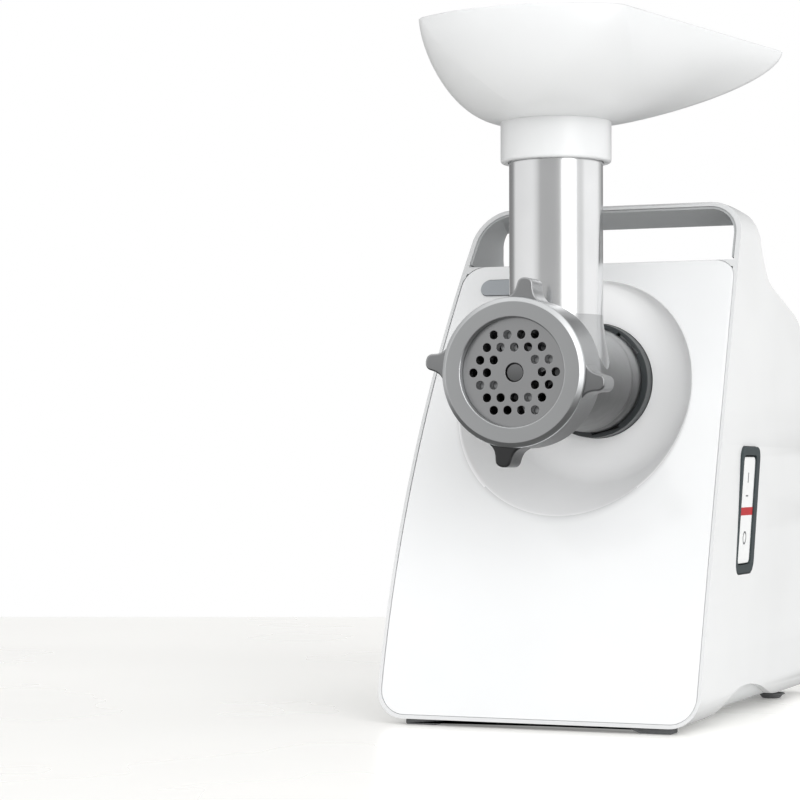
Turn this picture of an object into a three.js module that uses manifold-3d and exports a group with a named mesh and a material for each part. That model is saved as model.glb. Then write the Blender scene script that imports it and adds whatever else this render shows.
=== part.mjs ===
// Electric meat grinder: a casing that leans back with a loop handle, a motor and a
// three-stage gearbox inside it, and a mincing head with a filling tray in front.
// Millimetres, +Z up, the front faces -Y. The origin is on the worktop, in the middle
// of the object's length and width.
import * as THREE from 'three';
import { mergeVertices } from 'three/addons/utils/BufferGeometryUtils.js';
import Module from 'manifold-3d';

const wasm = await Module();
wasm.setup();

// ---------------------------------------------------------------- driving dimensions
const GAP = 0.3;               // clearance between pieces that touch
const ROUND = 24;              // sides of the larger round parts
const SMALL_ROUND = 12;        // sides of pins, screws and shafts

const HANDLE_TOP = 254;
const CASING_BOTTOM = 3;
const CASING_BACK = 140.74;    // rear wall, at the level of the casing's underside
const BACK_SLOPE = 0.08;       // the rear wall leans forward by this much per mm of height
const WALL = 2.6;
const FRONT_START = -106.26;   // front edge of the casing at worktop level
const FRONT_LEAN = 0.2516;
const FRONT_CURL = 0.000918;
const HALF_WIDTH = 78.42;
const CORNER_TOP = 19;
const CORNER_BOTTOM = 14;

const AXIS_Z = 164.1;          // axis of the mincing head and of the drive
const RECESS_FLOOR = -6.8;     // Y of the flat floor of the round recess
const RECESS_RADIUS = 49;
const RECESS_DRAFT = 0.26;
const PANEL_BOTTOM = 4.75;
const PANEL_TOP = 223;
const PANEL_INSET = 1.75;
const PANEL_THICK = 2.4;
const PANEL_SINK = 0.2;        // the panel stands this far behind the casing's front edge

const NUT_FRONT = -134;
const NUT_RADIUS = 34.35;
const NUT_LENGTH = 26;
const OUTLET_RADIUS = 24.9;
const PLATE_RADIUS = 26.5;
const PLATE_THICK = 5;
const TUBE_Y = -70.6;
const TUBE_RADIUS = 22.3;
const TUBE_TOP = 283;
const BARREL_RADIUS = 25.4;
const BORE_RADIUS = 21.6;
const FLANGE_RADIUS = 25.8;
const HEAD_BACK = -15.1;       // the head's flange meets the drive socket here
const SOCKET_RADIUS = 28.4;

const TRAY_RIM_Z = 330;
const TRAY_FLOOR_Z = 285;
const COLLAR_BOTTOM = 265.8;
const COLLAR_RADIUS = 26.4;
const TRAY_FRONT = -124;       // Y of the rim's front corners
const TRAY_REAR = 36.5;

const RIBBON = 2.4;            // white outer band of the handle
const LINER = 1.3;             // grey band inside it
const GEAR_PRESSURE = THREE.MathUtils.degToRad(25);
const MOTOR = { x: 0, z: 62 };
const OUTPUT = { x: 0, z: AXIS_Z };

// ---------------------------------------------------------------- solids
function solid(geometry) {
  const bare = geometry.clone();
  bare.deleteAttribute('normal');
  bare.deleteAttribute('uv');
  const merged = mergeVertices(bare, 1e-4);
  const vertProperties = new Float32Array(merged.attributes.position.array);
  const index = merged.index.array;
  const kept = [];
  let volume = 0;
  const corners = [new THREE.Vector3(), new THREE.Vector3(), new THREE.Vector3()];
  for (let i = 0; i < index.length; i += 3) {
    const [a, b, c] = index.slice(i, i + 3);
    if (a === b || b === c || c === a) continue;
    kept.push(a, b, c);
    [a, b, c].forEach((k, n) => corners[n].fromArray(vertProperties, 3 * k));
    volume += corners[0].dot(corners[1].clone().cross(corners[2]));
  }
  if (volume < 0) kept.reverse();
  return new wasm.Manifold(new wasm.Mesh({ numProp: 3, vertProperties, triVerts: new Uint32Array(kept) }));
}

const join = (first, ...others) => others.reduce((sum, next) => sum.add(next), first);
const cut = (first, ...others) => others.reduce((rest, next) => rest.subtract(next), first);
const meet = (first, ...others) => others.reduce((both, next) => both.intersect(next), first);

function geometryOf(body) {
  const mesh = body.getMesh();
  const geometry = new THREE.BufferGeometry();
  geometry.setAttribute('position', new THREE.BufferAttribute(new Float32Array(mesh.vertProperties), 3));
  geometry.setIndex(new THREE.BufferAttribute(new Uint32Array(mesh.triVerts), 1));
  return geometry;
}

function block(x0, x1, y0, y1, z0, z1) {
  const box = new THREE.BoxGeometry(x1 - x0, y1 - y0, z1 - z0);
  return solid(box.translate((x0 + x1) / 2, (y0 + y1) / 2, (z0 + z1) / 2));
}

// Revolves a profile of [radius, y] points about the Y direction.
function turned(profile, x = 0, z = AXIS_Z, sides = ROUND) {
  const points = profile.map(([r, y]) => new THREE.Vector2(r, y));
  return solid(new THREE.LatheGeometry(points, sides).translate(x, 0, z));
}

const rod = (r, y0, y1, x = 0, z = AXIS_Z, sides = ROUND) =>
  turned([[0, y0], [r, y0], [r, y1], [0, y1]], x, z, sides);

const ring = (rIn, rOut, y0, y1, x = 0, z = AXIS_Z, sides = ROUND) =>
  turned([[rIn, y0], [rOut, y0], [rOut, y1], [rIn, y1], [rIn, y0]], x, z, sides);

// A turned piece whose axis is upright; its profile is [radius, z].
function upright(profile, x, y, sides = ROUND) {
  const points = profile.map(([r, z]) => new THREE.Vector2(r, z));
  return solid(new THREE.LatheGeometry(points, sides).rotateX(Math.PI / 2).translate(x, y, 0));
}

const extruded = (shape, depth, curveSegments) =>
  new THREE.ExtrudeGeometry(shape, { depth, bevelEnabled: false, curveSegments });

// Outlines drawn in (x, z), pushed along Y from y0 to y1.
const alongY = (shape, y0, y1, curveSegments = 4) =>
  solid(extruded(shape, y1 - y0, curveSegments).rotateX(Math.PI / 2).translate(0, y1, 0));

// Outlines drawn in (y, z), pushed along X from x0 to x1.
function alongX(shape, x0, x1, curveSegments = 3) {
  const turn = new THREE.Matrix4().makeBasis(
    new THREE.Vector3(0, 1, 0), new THREE.Vector3(0, 0, 1), new THREE.Vector3(1, 0, 0));
  return solid(extruded(shape, x1 - x0, curveSegments).applyMatrix4(turn).translate(x0, 0, 0));
}

function polygon(points) {
  return new THREE.Shape(points.map(([u, v]) => new THREE.Vector2(u, v)));
}

// A rounded rectangle about (u, v), for plates, slots and windows.
function roundedBox(u0, u1, v0, v1, r) {
  const shape = new THREE.Shape();
  shape.moveTo(u0 + r, v0);
  shape.lineTo(u1 - r, v0);
  shape.absarc(u1 - r, v0 + r, r, -Math.PI / 2, 0, false);
  shape.lineTo(u1, v1 - r);
  shape.absarc(u1 - r, v1 - r, r, 0, Math.PI / 2, false);
  shape.lineTo(u0 + r, v1);
  shape.absarc(u0 + r, v1 - r, r, Math.PI / 2, Math.PI, false);
  shape.lineTo(u0, v0 + r);
  shape.absarc(u0 + r, v0 + r, r, Math.PI, 1.5 * Math.PI, false);
  return shape;
}

// Skins rings of equal point count; a loop of rings closes on itself, otherwise the
// first and last rings are capped by a fan about their centres.
function skinned(rings, closed) {
  const count = rings[0].length;
  const positions = rings.flat().flatMap((p) => [p.x, p.y, p.z]);
  const index = [];
  const bands = closed ? rings.length : rings.length - 1;
  for (let i = 0; i < bands; i += 1) {
    const lower = i * count;
    const upper = ((i + 1) % rings.length) * count;
    for (let k = 0; k < count; k += 1) {
      const next = (k + 1) % count;
      index.push(lower + k, lower + next, upper + next, lower + k, upper + next, upper + k);
    }
  }
  if (!closed) {
    [0, rings.length - 1].forEach((i) => {
      const centre = rings[i].reduce((sum, p) => sum.add(p), new THREE.Vector3()).divideScalar(count);
      const hub = positions.length / 3;
      positions.push(centre.x, centre.y, centre.z);
      for (let k = 0; k < count; k += 1) {
        const edge = [i * count + (k + 1) % count, i * count + k];
        index.push(hub, ...(i === 0 ? edge : edge.reverse()));
      }
    });
  }
  const geometry = new THREE.BufferGeometry();
  geometry.setAttribute('position', new THREE.Float32BufferAttribute(positions, 3));
  geometry.setIndex(index);
  return solid(geometry);
}

// ---------------------------------------------------------------- casing outlines
const frontY = (z) => FRONT_START + FRONT_LEAN * z + FRONT_CURL * z * z;
const halfWidth = (z) => HALF_WIDTH + 0.0199 * z - 0.000223 * z * z;

// The casing seen from the front: a loop with round corners, inset by a wall.
function hoop(inset, top = HANDLE_TOP, topCorner = CORNER_TOP, bottom = CASING_BOTTOM) {
  const topR = Math.max(topCorner - inset, 4);
  const lowR = CORNER_BOTTOM - inset;
  const z0 = bottom + inset;
  const z1 = top - inset;
  const side = (z) => halfWidth(z) - inset;
  const right = [];
  for (let i = 0; i <= 6; i += 1) {
    const z = z0 + lowR + (z1 - topR - z0 - lowR) * (i / 6);
    right.push([side(z), z]);
  }
  const shape = new THREE.Shape();
  shape.moveTo(lowR - side(z0 + lowR), z0);
  shape.lineTo(side(z0 + lowR) - lowR, z0);
  shape.absarc(side(z0 + lowR) - lowR, z0 + lowR, lowR, -Math.PI / 2, 0, false);
  right.forEach(([x, z]) => shape.lineTo(x, z));
  shape.absarc(side(z1 - topR) - topR, z1 - topR, topR, 0, Math.PI / 2, false);
  shape.lineTo(topR - side(z1 - topR), z1);
  shape.absarc(topR - side(z1 - topR), z1 - topR, topR, Math.PI / 2, Math.PI, false);
  right.reverse().forEach(([x, z]) => shape.lineTo(-x, z));
  shape.absarc(lowR - side(z0 + lowR), z0 + lowR, lowR, Math.PI, 1.5 * Math.PI, false);
  return shape;
}

function frontProfile(zTop, zBottom, offset, steps = 12) {
  const points = [];
  for (let i = 0; i <= steps; i += 1) {
    const z = zTop + (zBottom - zTop) * (i / steps);
    points.push([frontY(z) + offset, z]);
  }
  return points;
}

// The casing seen from the side, with the finger arch in its lower edge.
function sideOutline() {
  const shape = new THREE.Shape();
  shape.moveTo(frontY(CASING_BOTTOM), CASING_BOTTOM);
  shape.lineTo(-66, CASING_BOTTOM);
  shape.bezierCurveTo(-56, 8, -48, 16.8, -21, 16.8);
  shape.bezierCurveTo(15, 16.8, 30, 6, 66, 6);
  shape.lineTo(150, 6);
  shape.lineTo(150, 180);
  shape.lineTo(127, 184);
  shape.quadraticCurveTo(119, 199, 100, 203);
  shape.lineTo(62, 213);
  shape.quadraticCurveTo(49, 216.5, 45, 233);
  shape.quadraticCurveTo(43.5, 241, 41, 248.2);
  shape.lineTo(frontY(HANDLE_TOP) + 2, HANDLE_TOP);
  frontProfile(HANDLE_TOP, CASING_BOTTOM + 8, 0).forEach(([y, z]) => shape.lineTo(y, z));
  return shape;
}

// Everything between the casing's top and the underside of the handle's crossbar.
function handleGap(lower, drop) {
  return polygon([
    [-60, PANEL_TOP + lower], [frontY(PANEL_TOP), PANEL_TOP + lower], [60, 213.5 + lower],
    [76, 209.6 + lower], [76, 236.8 - drop], [-60, 269.9 - drop],
  ]);
}

// The inside of the casing seen from the side, open at the front.
function cavityOutline(inset) {
  return polygon([
    [-130, -5], [150, -5], [150, 178 - inset], [125, 184 - inset], [112, 196 - inset],
    [100, 202.5 - inset], [62, 212.5 - inset], [frontY(PANEL_TOP) + 6, PANEL_TOP - 1 - inset],
    [frontY(PANEL_TOP) - 4, PANEL_TOP - 1 - inset], [-130, 150],
  ]);
}

// A plan outline with round rear corners, leaned forward with the rear wall.
function plan(inset) {
  const half = HALF_WIDTH + 0.6 - inset;
  const back = CASING_BACK - inset;
  const corner = 24 - inset;
  const shape = new THREE.Shape();
  shape.moveTo(-half, -150);
  shape.lineTo(half, -150);
  shape.lineTo(half, back - corner);
  shape.absarc(half - corner, back - corner, corner, 0, Math.PI / 2, false);
  shape.lineTo(corner - half, back);
  shape.absarc(corner - half, back - corner, corner, Math.PI / 2, Math.PI, false);
  const lean = new THREE.Matrix4().set(
    1, 0, 0, 0, 0, 1, -BACK_SLOPE, BACK_SLOPE * CASING_BOTTOM, 0, 0, 1, 0, 0, 0, 0, 1);
  return solid(extruded(shape, 300, 6).translate(0, 0, -20).applyMatrix4(lean));
}

// ---------------------------------------------------------------- casing
const REAR_WINDOW = { half: 50, bottom: 26, top: 176, corner: 14 };
const SWITCH = { y: -14.2, z: 100.6, lean: THREE.MathUtils.degToRad(15.8), width: 33, height: 61 };

// Places a piece drawn upright about the origin, facing +X, at the switch.
function atSwitch(body) {
  const place = new THREE.Matrix4().makeShear(0, 0, 0, 0, 0, Math.tan(SWITCH.lean));
  place.setPosition(0, SWITCH.y, SWITCH.z);
  return solid(geometryOf(body).applyMatrix4(place));
}

function rearWindow(inset) {
  const { half, bottom, top, corner } = REAR_WINDOW;
  const frame = roundedBox(inset - half, half - inset, bottom + inset, top - inset, corner - inset);
  return alongY(frame, 100, 160);
}

function bodyShell() {
  const outer = meet(alongY(hoop(0), -120, 150), alongX(sideOutline(), -90, 90, 8), plan(0));
  const inner = meet(alongY(hoop(WALL), -140, 150), alongX(cavityOutline(WALL), -90, 90), plan(WALL));
  const grip = meet(alongY(hoop(RIBBON), -140, 150), alongX(handleGap(0, 0), -90, 90));
  const underside = block(-60, 60, -94, 128, -5, 12);
  const half = SWITCH.width / 2 + GAP;
  const switchHole = atSwitch(alongX(
    roundedBox(-half, half, -SWITCH.height / 2 - GAP, SWITCH.height / 2 + GAP, 6), 60, 90));
  const seat = meet(
    alongX(panelBand(-2, PANEL_THICK + 2 * GAP), -90, 90), alongY(panelOutline(PANEL_INSET - GAP), -140, 60));
  return cut(outer, inner, grip, underside, rearWindow(0), switchHole, seat);
}

function handleLiner() {
  const outer = meet(alongY(hoop(RIBBON + GAP), -140, 150), alongX(handleGap(1.5, GAP), -90, 90));
  const inner = meet(alongY(hoop(RIBBON + GAP + LINER), -140, 150),
    alongX(handleGap(-9, GAP + LINER), -90, 90));
  const reach = polygon([
    [38.8, 251], [41, 240], [43, 230], [48, 218], [49, 216], [-3, 224],
    ...frontProfile(226, 252, 1.6, 4),
  ]);
  return cut(meet(outer, alongX(reach, -90, 90)), inner);
}

function panelOutline(inset) {
  return hoop(inset, PANEL_TOP + inset, 12, PANEL_BOTTOM - inset);
}

// A band that follows the casing's front edge, between two depths behind it.
function panelBand(near, far) {
  return polygon([
    ...frontProfile(PANEL_BOTTOM - 2, 230, near), ...frontProfile(230, PANEL_BOTTOM - 2, far)]);
}

function frontPanel() {
  const sheet = meet(
    alongX(panelBand(PANEL_SINK, PANEL_SINK + PANEL_THICK), -90, 90),
    alongY(panelOutline(PANEL_INSET), -140, 60));
  const cone = (extra, back) => turned([
    [0, back], [RECESS_RADIUS + extra, back], [RECESS_RADIUS + extra + 100 * RECESS_DRAFT, back - 100],
    [0, back - 100]], 0, AXIS_Z, 36);
  const behind = polygon([...frontProfile(PANEL_BOTTOM - 2, 230, PANEL_SINK), [60, 230], [60, 4]]);
  const cup = meet(cone(PANEL_THICK, RECESS_FLOOR + PANEL_THICK), alongX(behind, -90, 90));
  const socketHole = rod(SOCKET_RADIUS + GAP, -20, 20);
  const button = alongY(roundedBox(-59.8, -29.7, 207.4, 216, 4.2), -60, 30);
  const trimmed = meet(join(sheet, cup), alongY(panelOutline(PANEL_INSET), -140, 60));
  return cut(trimmed, cone(0, RECESS_FLOOR), socketHole, button);
}

function rearCover() {
  const wall = cut(plan(0), plan(WALL));
  const sheet = meet(wall, rearWindow(GAP), block(-60, 60, 100, 150, 10, 190));
  const slots = [];
  for (let row = 0; row < 8; row += 1) {
    const z = 96 + row * 9;
    slots.push(block(-34, 34, 100, 160, z, z + 3.4));
  }
  const inlet = rod(6.4, 100, 160, 0, 46, SMALL_ROUND);
  return cut(sheet, ...slots, inlet);
}

function basePlate() {
  const region = (inset, z) => meet(
    alongY(hoop(inset), -100, 150), plan(inset), block(-90, 90, -89, 150, -5, z));
  const outer = join(region(WALL + GAP, 20), block(-59.6, 59.6, -93.6, 124, CASING_BOTTOM, 9));
  const inner = meet(region(WALL + GAP + 2.2, 30), block(-90, 90, -86.5, 150, 8, 40));
  const saddle = (y) => block(-24, 24, y, y + 4, 7, MOTOR.z - 29.3);
  const holes = [];
  for (let i = 0; i < 6; i += 1) {
    holes.push(block(-26, 26, -46 + i * 9, -42 + i * 9, -5, 12));
  }
  const hole = [[0, -5], [2.2, -5], [2.2, 12], [0, 12]];
  const screwHoles = screwPlaces().map(([x, y]) => upright(hole, x, y, 12));
  return join(cut(outer, inner, ...holes, ...screwHoles), saddle(66), saddle(96));
}

const screwPlaces = () => [[-50, -78], [50, -78], [-50, 112], [50, 112]];

function pillFoot(x) {
  return upright([[0, 0], [4.6, 0], [6.2, 2], [7.2, 2.1], [7.2, 2.7], [0, 2.7]], x, 97.5, 20);
}

function frontFoot() {
  const strip = [
    [-64.5, 0], [-50, 0], [-45, 2], [45, 2], [50, 0], [64.5, 0],
    [65, 0.5], [65, 2.7], [-65, 2.7], [-65, 0.5]];
  return alongY(polygon(strip), -100.5, -91);
}

function switchBezel() {
  const { width, height } = SWITCH;
  const outer = roundedBox(-width / 2, width / 2, -height / 2, height / 2, 6);
  const frame = alongX(outer, 68, 79);
  const opening = roundedBox(1.8 - width / 2, width / 2 - 6.4, 4.2 - height / 2, height / 2 - 4.2, 3);
  const well = alongX(opening, 60, 90);
  return atSwitch(cut(frame, well));
}

function powerRocker() {
  const { width, height } = SWITCH;
  const half = height / 2 - 5.2;
  const cap = alongX(roundedBox(-width / 2 + 2.5, width / 2 - 7.1, -half, half, 2.4), 73.4, 78.2);
  const waist = polygon([[69, -6], [73.6, -21], [73.6, 21], [69, 6]]);
  const stem = alongX(roundedBox(-width / 2 + 3.5, width / 2 - 8.1, -10, 10, 1.5), 69.5, 74);
  const blade = solid(extruded(waist, width - 11.6, 2).rotateX(Math.PI / 2).translate(0, width / 2 - 8.1, 0));
  return atSwitch(join(cap, meet(join(stem, blade), block(60, 79, -20, 20, -24, 24))));
}

function switchBody() {
  const box = alongX(roundedBox(-8, 4.6, -22, 22, 2), 46, 67.4);
  const tabs = [-14, 0, 14].map((z) => block(39, 47, -3.2, 1.8, z - 0.5, z + 0.5));
  return atSwitch(join(box, ...tabs));
}

function releaseButton() {
  const pill = alongY(roundedBox(-59.5, -30, 207.7, 215.7, 3.95), -21, -4, 6);
  const face = polygon([...frontProfile(204, 219, -0.9, 3), [0, 219], [0, 204]]);
  return meet(pill, alongX(face, -90, 0));
}

function latchBar() {
  const plate = polygon([
    [-56, 209], [-32, 209], [-24, 196], [-17, 193.5], [-13, 199], [-24, 214.5], [-56, 214.5]]);
  const bar = alongY(plate, -3.7, -1.2);
  const guides = [-52, -36].map((x) => rod(1.6, -1.5, 7, x, 211.8, 12));
  return meet(join(bar, ...guides), block(-60, 0, -10, 20, 150, 220));
}

function latchSpring() {
  const coil = new THREE.CatmullRomCurve3(Array.from({ length: 41 }, (_, i) => {
    const turn = (i / 40) * 5 * 2 * Math.PI;
    return new THREE.Vector3(-44 + 2.6 * Math.cos(turn), (i / 40) * 9 - 0.4, 211.8 + 2.6 * Math.sin(turn));
  }));
  const round = new THREE.Path().absarc(0, 0, 0.45, 0, 2 * Math.PI, false);
  const wire = new THREE.Shape(round.getPoints(2).slice(0, 4));
  return solid(new THREE.ExtrudeGeometry(wire, { steps: 40, bevelEnabled: false, extrudePath: coil }));
}

function driveSocket() {
  const body = turned([
    [23.4, -14.8], [SOCKET_RADIUS, -14.8], [SOCKET_RADIUS, -4], [34, -4], [34, -1], [27, -1], [27, 5.7],
    [16, 5.7], [16, 1], [26.4, -3], [26.4, -11.6], [23.4, -11.6], [23.4, -14.8]]);
  const notches = [];
  for (let i = 0; i < 3; i += 1) {
    const angle = (i / 3) * 2 * Math.PI + Math.PI / 4;
    const notch = new THREE.BoxGeometry(14.5, 6, 16).translate(0, -13.5, 18.3).rotateY(angle);
    notches.push(solid(notch.translate(0, 0, AXIS_Z)));
  }
  return cut(body, ...notches);
}

function cordGland() {
  const back = CASING_BACK - BACK_SLOPE * (46 - CASING_BOTTOM);
  return turned([[4, back - 9], [9, back - 9], [9, back - 3.9], [6, back - 3.9], [6, back + 1.1],
    [8.6, back + 1.1], [7.6, back + 3], [4, back + 3], [4, back - 9]], 0, 46, 20);
}

// ---------------------------------------------------------------- gears and motor
const STAGES = {
  first: { module: 1.5, pinion: 10, wheel: 40 },
  second: { module: 1.5, pinion: 10, wheel: 40 },
  third: { module: 2, pinion: 10, wheel: 36 },
};
const stageDistance = ({ module, pinion, wheel }) => (module * (pinion + wheel)) / 2;

// The two idlers stand where all three pairs of gears mesh.
const IDLER_B = { x: -14, z: OUTPUT.z - Math.sqrt(stageDistance(STAGES.third) ** 2 - 14 ** 2) };
const IDLER_A = (() => {
  const reach = new THREE.Vector2(MOTOR.x - IDLER_B.x, MOTOR.z - IDLER_B.z);
  const half = reach.length() / 2;
  const offset = Math.sqrt(stageDistance(STAGES.first) ** 2 - half ** 2);
  const middle = new THREE.Vector2(IDLER_B.x, IDLER_B.z).addScaledVector(reach, 0.5);
  const across = new THREE.Vector2(-reach.y, reach.x).normalize();
  return { x: middle.x + across.x * offset, z: middle.y + across.y * offset };
})();

function involute(teeth, module) {
  const pitch = (teeth * module) / 2;
  const base = pitch * Math.cos(GEAR_PRESSURE);
  const spread = (angle) => Math.tan(angle) - angle;
  const half = Math.PI / (2 * teeth) - 0.16 / pitch;
  return (radius) => half + spread(GEAR_PRESSURE) - spread(Math.acos(Math.min(1, base / radius)));
}

// A toothed outline with one tooth, or one gap, pointing towards another centre.
function gear(at, teeth, module, y0, y1, towards, gapFirst, bore) {
  const pitch = (teeth * module) / 2;
  const halfAt = involute(teeth, module);
  const root = pitch - 1.15 * module;
  const tip = pitch + 0.8 * module;
  const aim = Math.atan2(towards.z - at.z, towards.x - at.x) + (gapFirst ? Math.PI / teeth : 0);
  const narrow = teeth < 20 ? 0.8 : 1;
  const points = [];
  for (let i = 0; i < teeth; i += 1) {
    const centre = aim + (i / teeth) * 2 * Math.PI;
    const flank = [[root, halfAt(root) * narrow], [tip, halfAt(tip)]];
    if (teeth < 20) flank.splice(1, 0, [pitch, halfAt(pitch)]);
    flank.forEach(([r, width]) => points.push([r, centre - width]));
    flank.reverse().forEach(([r, width]) => points.push([r, centre + width]));
  }
  const outline = polygon(points.map(([r, a]) => [at.x + r * Math.cos(a), at.z + r * Math.sin(a)]));
  return cut(alongY(outline, y0, y1), rod(bore, y0 - 1, y1 + 1, at.x, at.z, SMALL_ROUND));
}

function outputGear() {
  const { wheel, module } = STAGES.third;
  const toothed = gear(OUTPUT, wheel, module, 11.5, 21.5, IDLER_B, true, 8.3);
  const lightening = [];
  for (let i = 0; i < 6; i += 1) {
    const angle = (i / 6) * 2 * Math.PI;
    lightening.push(rod(5.5, 0, 30, 21 * Math.cos(angle), AXIS_Z + 21 * Math.sin(angle), 12));
  }
  return cut(toothed, ...lightening);
}

function outputShaft() {
  const shaft = turned([[0, -4.5], [12, -4.5], [12, 5], [8, 5], [8, 47.5], [0, 47.5]], 0, AXIS_Z, 24);
  const square = new THREE.BoxGeometry(11.6, 16, 11.6).translate(0, -4, AXIS_Z);
  return cut(shaft, solid(square));
}

function idlerB() {
  const { module, pinion } = STAGES.third;
  const small = gear(IDLER_B, pinion, module, 10.6, 23.8, OUTPUT, false, 3.1);
  const large = gear(IDLER_B, STAGES.second.wheel, STAGES.second.module, 23.6, 31.5, IDLER_A, true, 3.1);
  return join(small, large);
}

function idlerA() {
  const { module, pinion } = STAGES.second;
  const small = gear(IDLER_A, pinion, module, 22.9, 33.8, IDLER_B, false, 3.1);
  const large = gear(IDLER_A, STAGES.first.wheel, STAGES.first.module, 33.6, 40.4, MOTOR, true, 3.1);
  return join(small, large);
}

const motorPinion = () =>
  gear(MOTOR, STAGES.first.pinion, STAGES.first.module, 32.8, 41.2, IDLER_A, false, 2.8);

const idlerAxle = ({ x, z }) => rod(2.9, 6.2, 46, x, z, SMALL_ROUND);

function gearboxOutline() {
  const shape = new THREE.Shape();
  shape.absarc(OUTPUT.x, OUTPUT.z, 43, 0, Math.PI, false);
  shape.lineTo(-51, 152);
  shape.lineTo(-50, 60);
  shape.absarc(-28, 56, 22, Math.PI, 1.5 * Math.PI, false);
  shape.absarc(28, 56, 22, 1.5 * Math.PI, 2 * Math.PI, false);
  shape.lineTo(51, 148);
  return shape;
}

const PILLARS = [[-43, 64], [43, 64], [-46, 148], [46, 140]];

function shaftHoles(y0, y1) {
  const axle = ({ x, z }) => rod(3.2, y0, y1, x, z, SMALL_ROUND);
  return [axle(IDLER_A), axle(IDLER_B)];
}

function gearboxFrontPlate() {
  const plate = alongY(gearboxOutline(), 6.1, 9.5, 5);
  const pillars = PILLARS.map(([x, z]) => rod(4, 9, 42.7, x, z, 12));
  const bearingSeats = [rod(12.3, 0, 20), rod(5, 0, 20, MOTOR.x, MOTOR.z, 16)];
  return cut(join(plate, ...pillars), ...shaftHoles(0, 20), ...bearingSeats);
}

function gearboxRearPlate() {
  const plate = alongY(gearboxOutline(), 43, 46.4, 5);
  return cut(plate, ...shaftHoles(40, 50), rod(8.3, 40, 50), rod(11.3, 40, 50, MOTOR.x, MOTOR.z, 24));
}

function stator() {
  const shape = roundedBox(-33, 33, MOTOR.z - 29, MOTOR.z + 29, 9);
  const bore = rod(19.6, 50, 110, MOTOR.x, MOTOR.z, 24);
  const windows = [-1, 1].map((side) => alongY(
    roundedBox(-14, 14, MOTOR.z + side * 19.5 - 4.6, MOTOR.z + side * 19.5 + 4.6, 2), 50, 110, 1));
  const bolts = [-1, 1].map((side) => rod(2.5, 50, 110, side * 28, MOTOR.z, 12));
  return cut(alongY(shape, 62, 100, 3), bore, ...windows, ...bolts);
}

// A field coil: a flat loop whose long sides lie in the stator's windows.
function fieldCoil(side) {
  const z = MOTOR.z + side * 21.6;
  const loop = roundedBox(-12.6, 12.6, 57.5, 104.5, 4);
  loop.holes.push(new THREE.Path(roundedBox(-7.4, 7.4, 61.2, 100.8, 2).getPoints(3).reverse()));
  return solid(extruded(loop, 3.6, 3).translate(0, 0, z - 1.8));
}

function armatureStack() {
  const points = [];
  const slots = 10;
  for (let i = 0; i < slots; i += 1) {
    const centre = (i / slots) * 2 * Math.PI;
    [[18.8, -0.24], [18.8, 0], [18.8, 0.24], [11, 0.2], [11, 0.43]].forEach(([r, turn]) => {
      points.push([MOTOR.x + r * Math.cos(centre + turn), MOTOR.z + r * Math.sin(centre + turn)]);
    });
  }
  return cut(alongY(polygon(points), 63, 99), rod(4.3, 60, 105, MOTOR.x, MOTOR.z, SMALL_ROUND));
}

const outputBush = () => ring(8.2, 12, 5.3, 10.4);

const motorShaft = () => turned([[0, 31], [2.5, 31], [2.5, 42], [4, 42], [4, 122], [0, 122]],
  MOTOR.x, MOTOR.z, SMALL_ROUND);

const commutator = () => ring(4.3, 10.5, 104, 115, MOTOR.x, MOTOR.z, 24);

function coolingFan() {
  const hub = ring(4.3, 9, 50.4, 56, MOTOR.x, MOTOR.z, 20);
  const disc = ring(8.6, 24.6, 50.4, 51.6, MOTOR.x, MOTOR.z, 24);
  const blades = [];
  for (let i = 0; i < 9; i += 1) {
    const blade = new THREE.BoxGeometry(16, 4.6, 1.2).translate(16.4, 53.6, 0).rotateY((i / 9) * 2 * Math.PI);
    blades.push(solid(blade.translate(MOTOR.x, 0, MOTOR.z)));
  }
  return join(hub, disc, ...blades);
}

const brushHolder = (side) =>
  block(side * 20 - 9, side * 20 + 9, 105.5, 113.5, MOTOR.z - 4, MOTOR.z + 4);

function motorRearBracket() {
  const bar = alongY(roundedBox(-33, 33, MOTOR.z - 10, MOTOR.z + 10, 3), 116, 119.5, 1);
  const cup = ring(8.3, 13, 116, 122, MOTOR.x, MOTOR.z, 24);
  const leg = (x) => block(x - 1.3, x + 1.3, 100.4, 117, MOTOR.z - 8, MOTOR.z + 8);
  return cut(join(bar, cup, leg(-31.5), leg(31.5)), rod(8.3, 110, 125, MOTOR.x, MOTOR.z, 24));
}

const motorBearing = (y0, y1, rOut) => ring(4.2, rOut, y0, y1, MOTOR.x, MOTOR.z, 24);

const motorBolt = (side) => rod(2, 46.9, 100, side * 28, MOTOR.z, 12);

function circuitBoard() {
  const board = block(36, 38, 50, 118, 100, 150);
  const parts = [block(25, 36.5, 60, 78, 108, 122), block(29, 36.5, 88, 108, 106, 140)];
  const drums = [[66, 138], [78, 138]].map(([y, z]) => {
    const drum = new THREE.CylinderGeometry(4.5, 4.5, 13, 14).rotateZ(Math.PI / 2);
    return solid(drum.translate(30, y, z));
  });
  return join(board, ...parts, ...drums);
}

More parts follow.
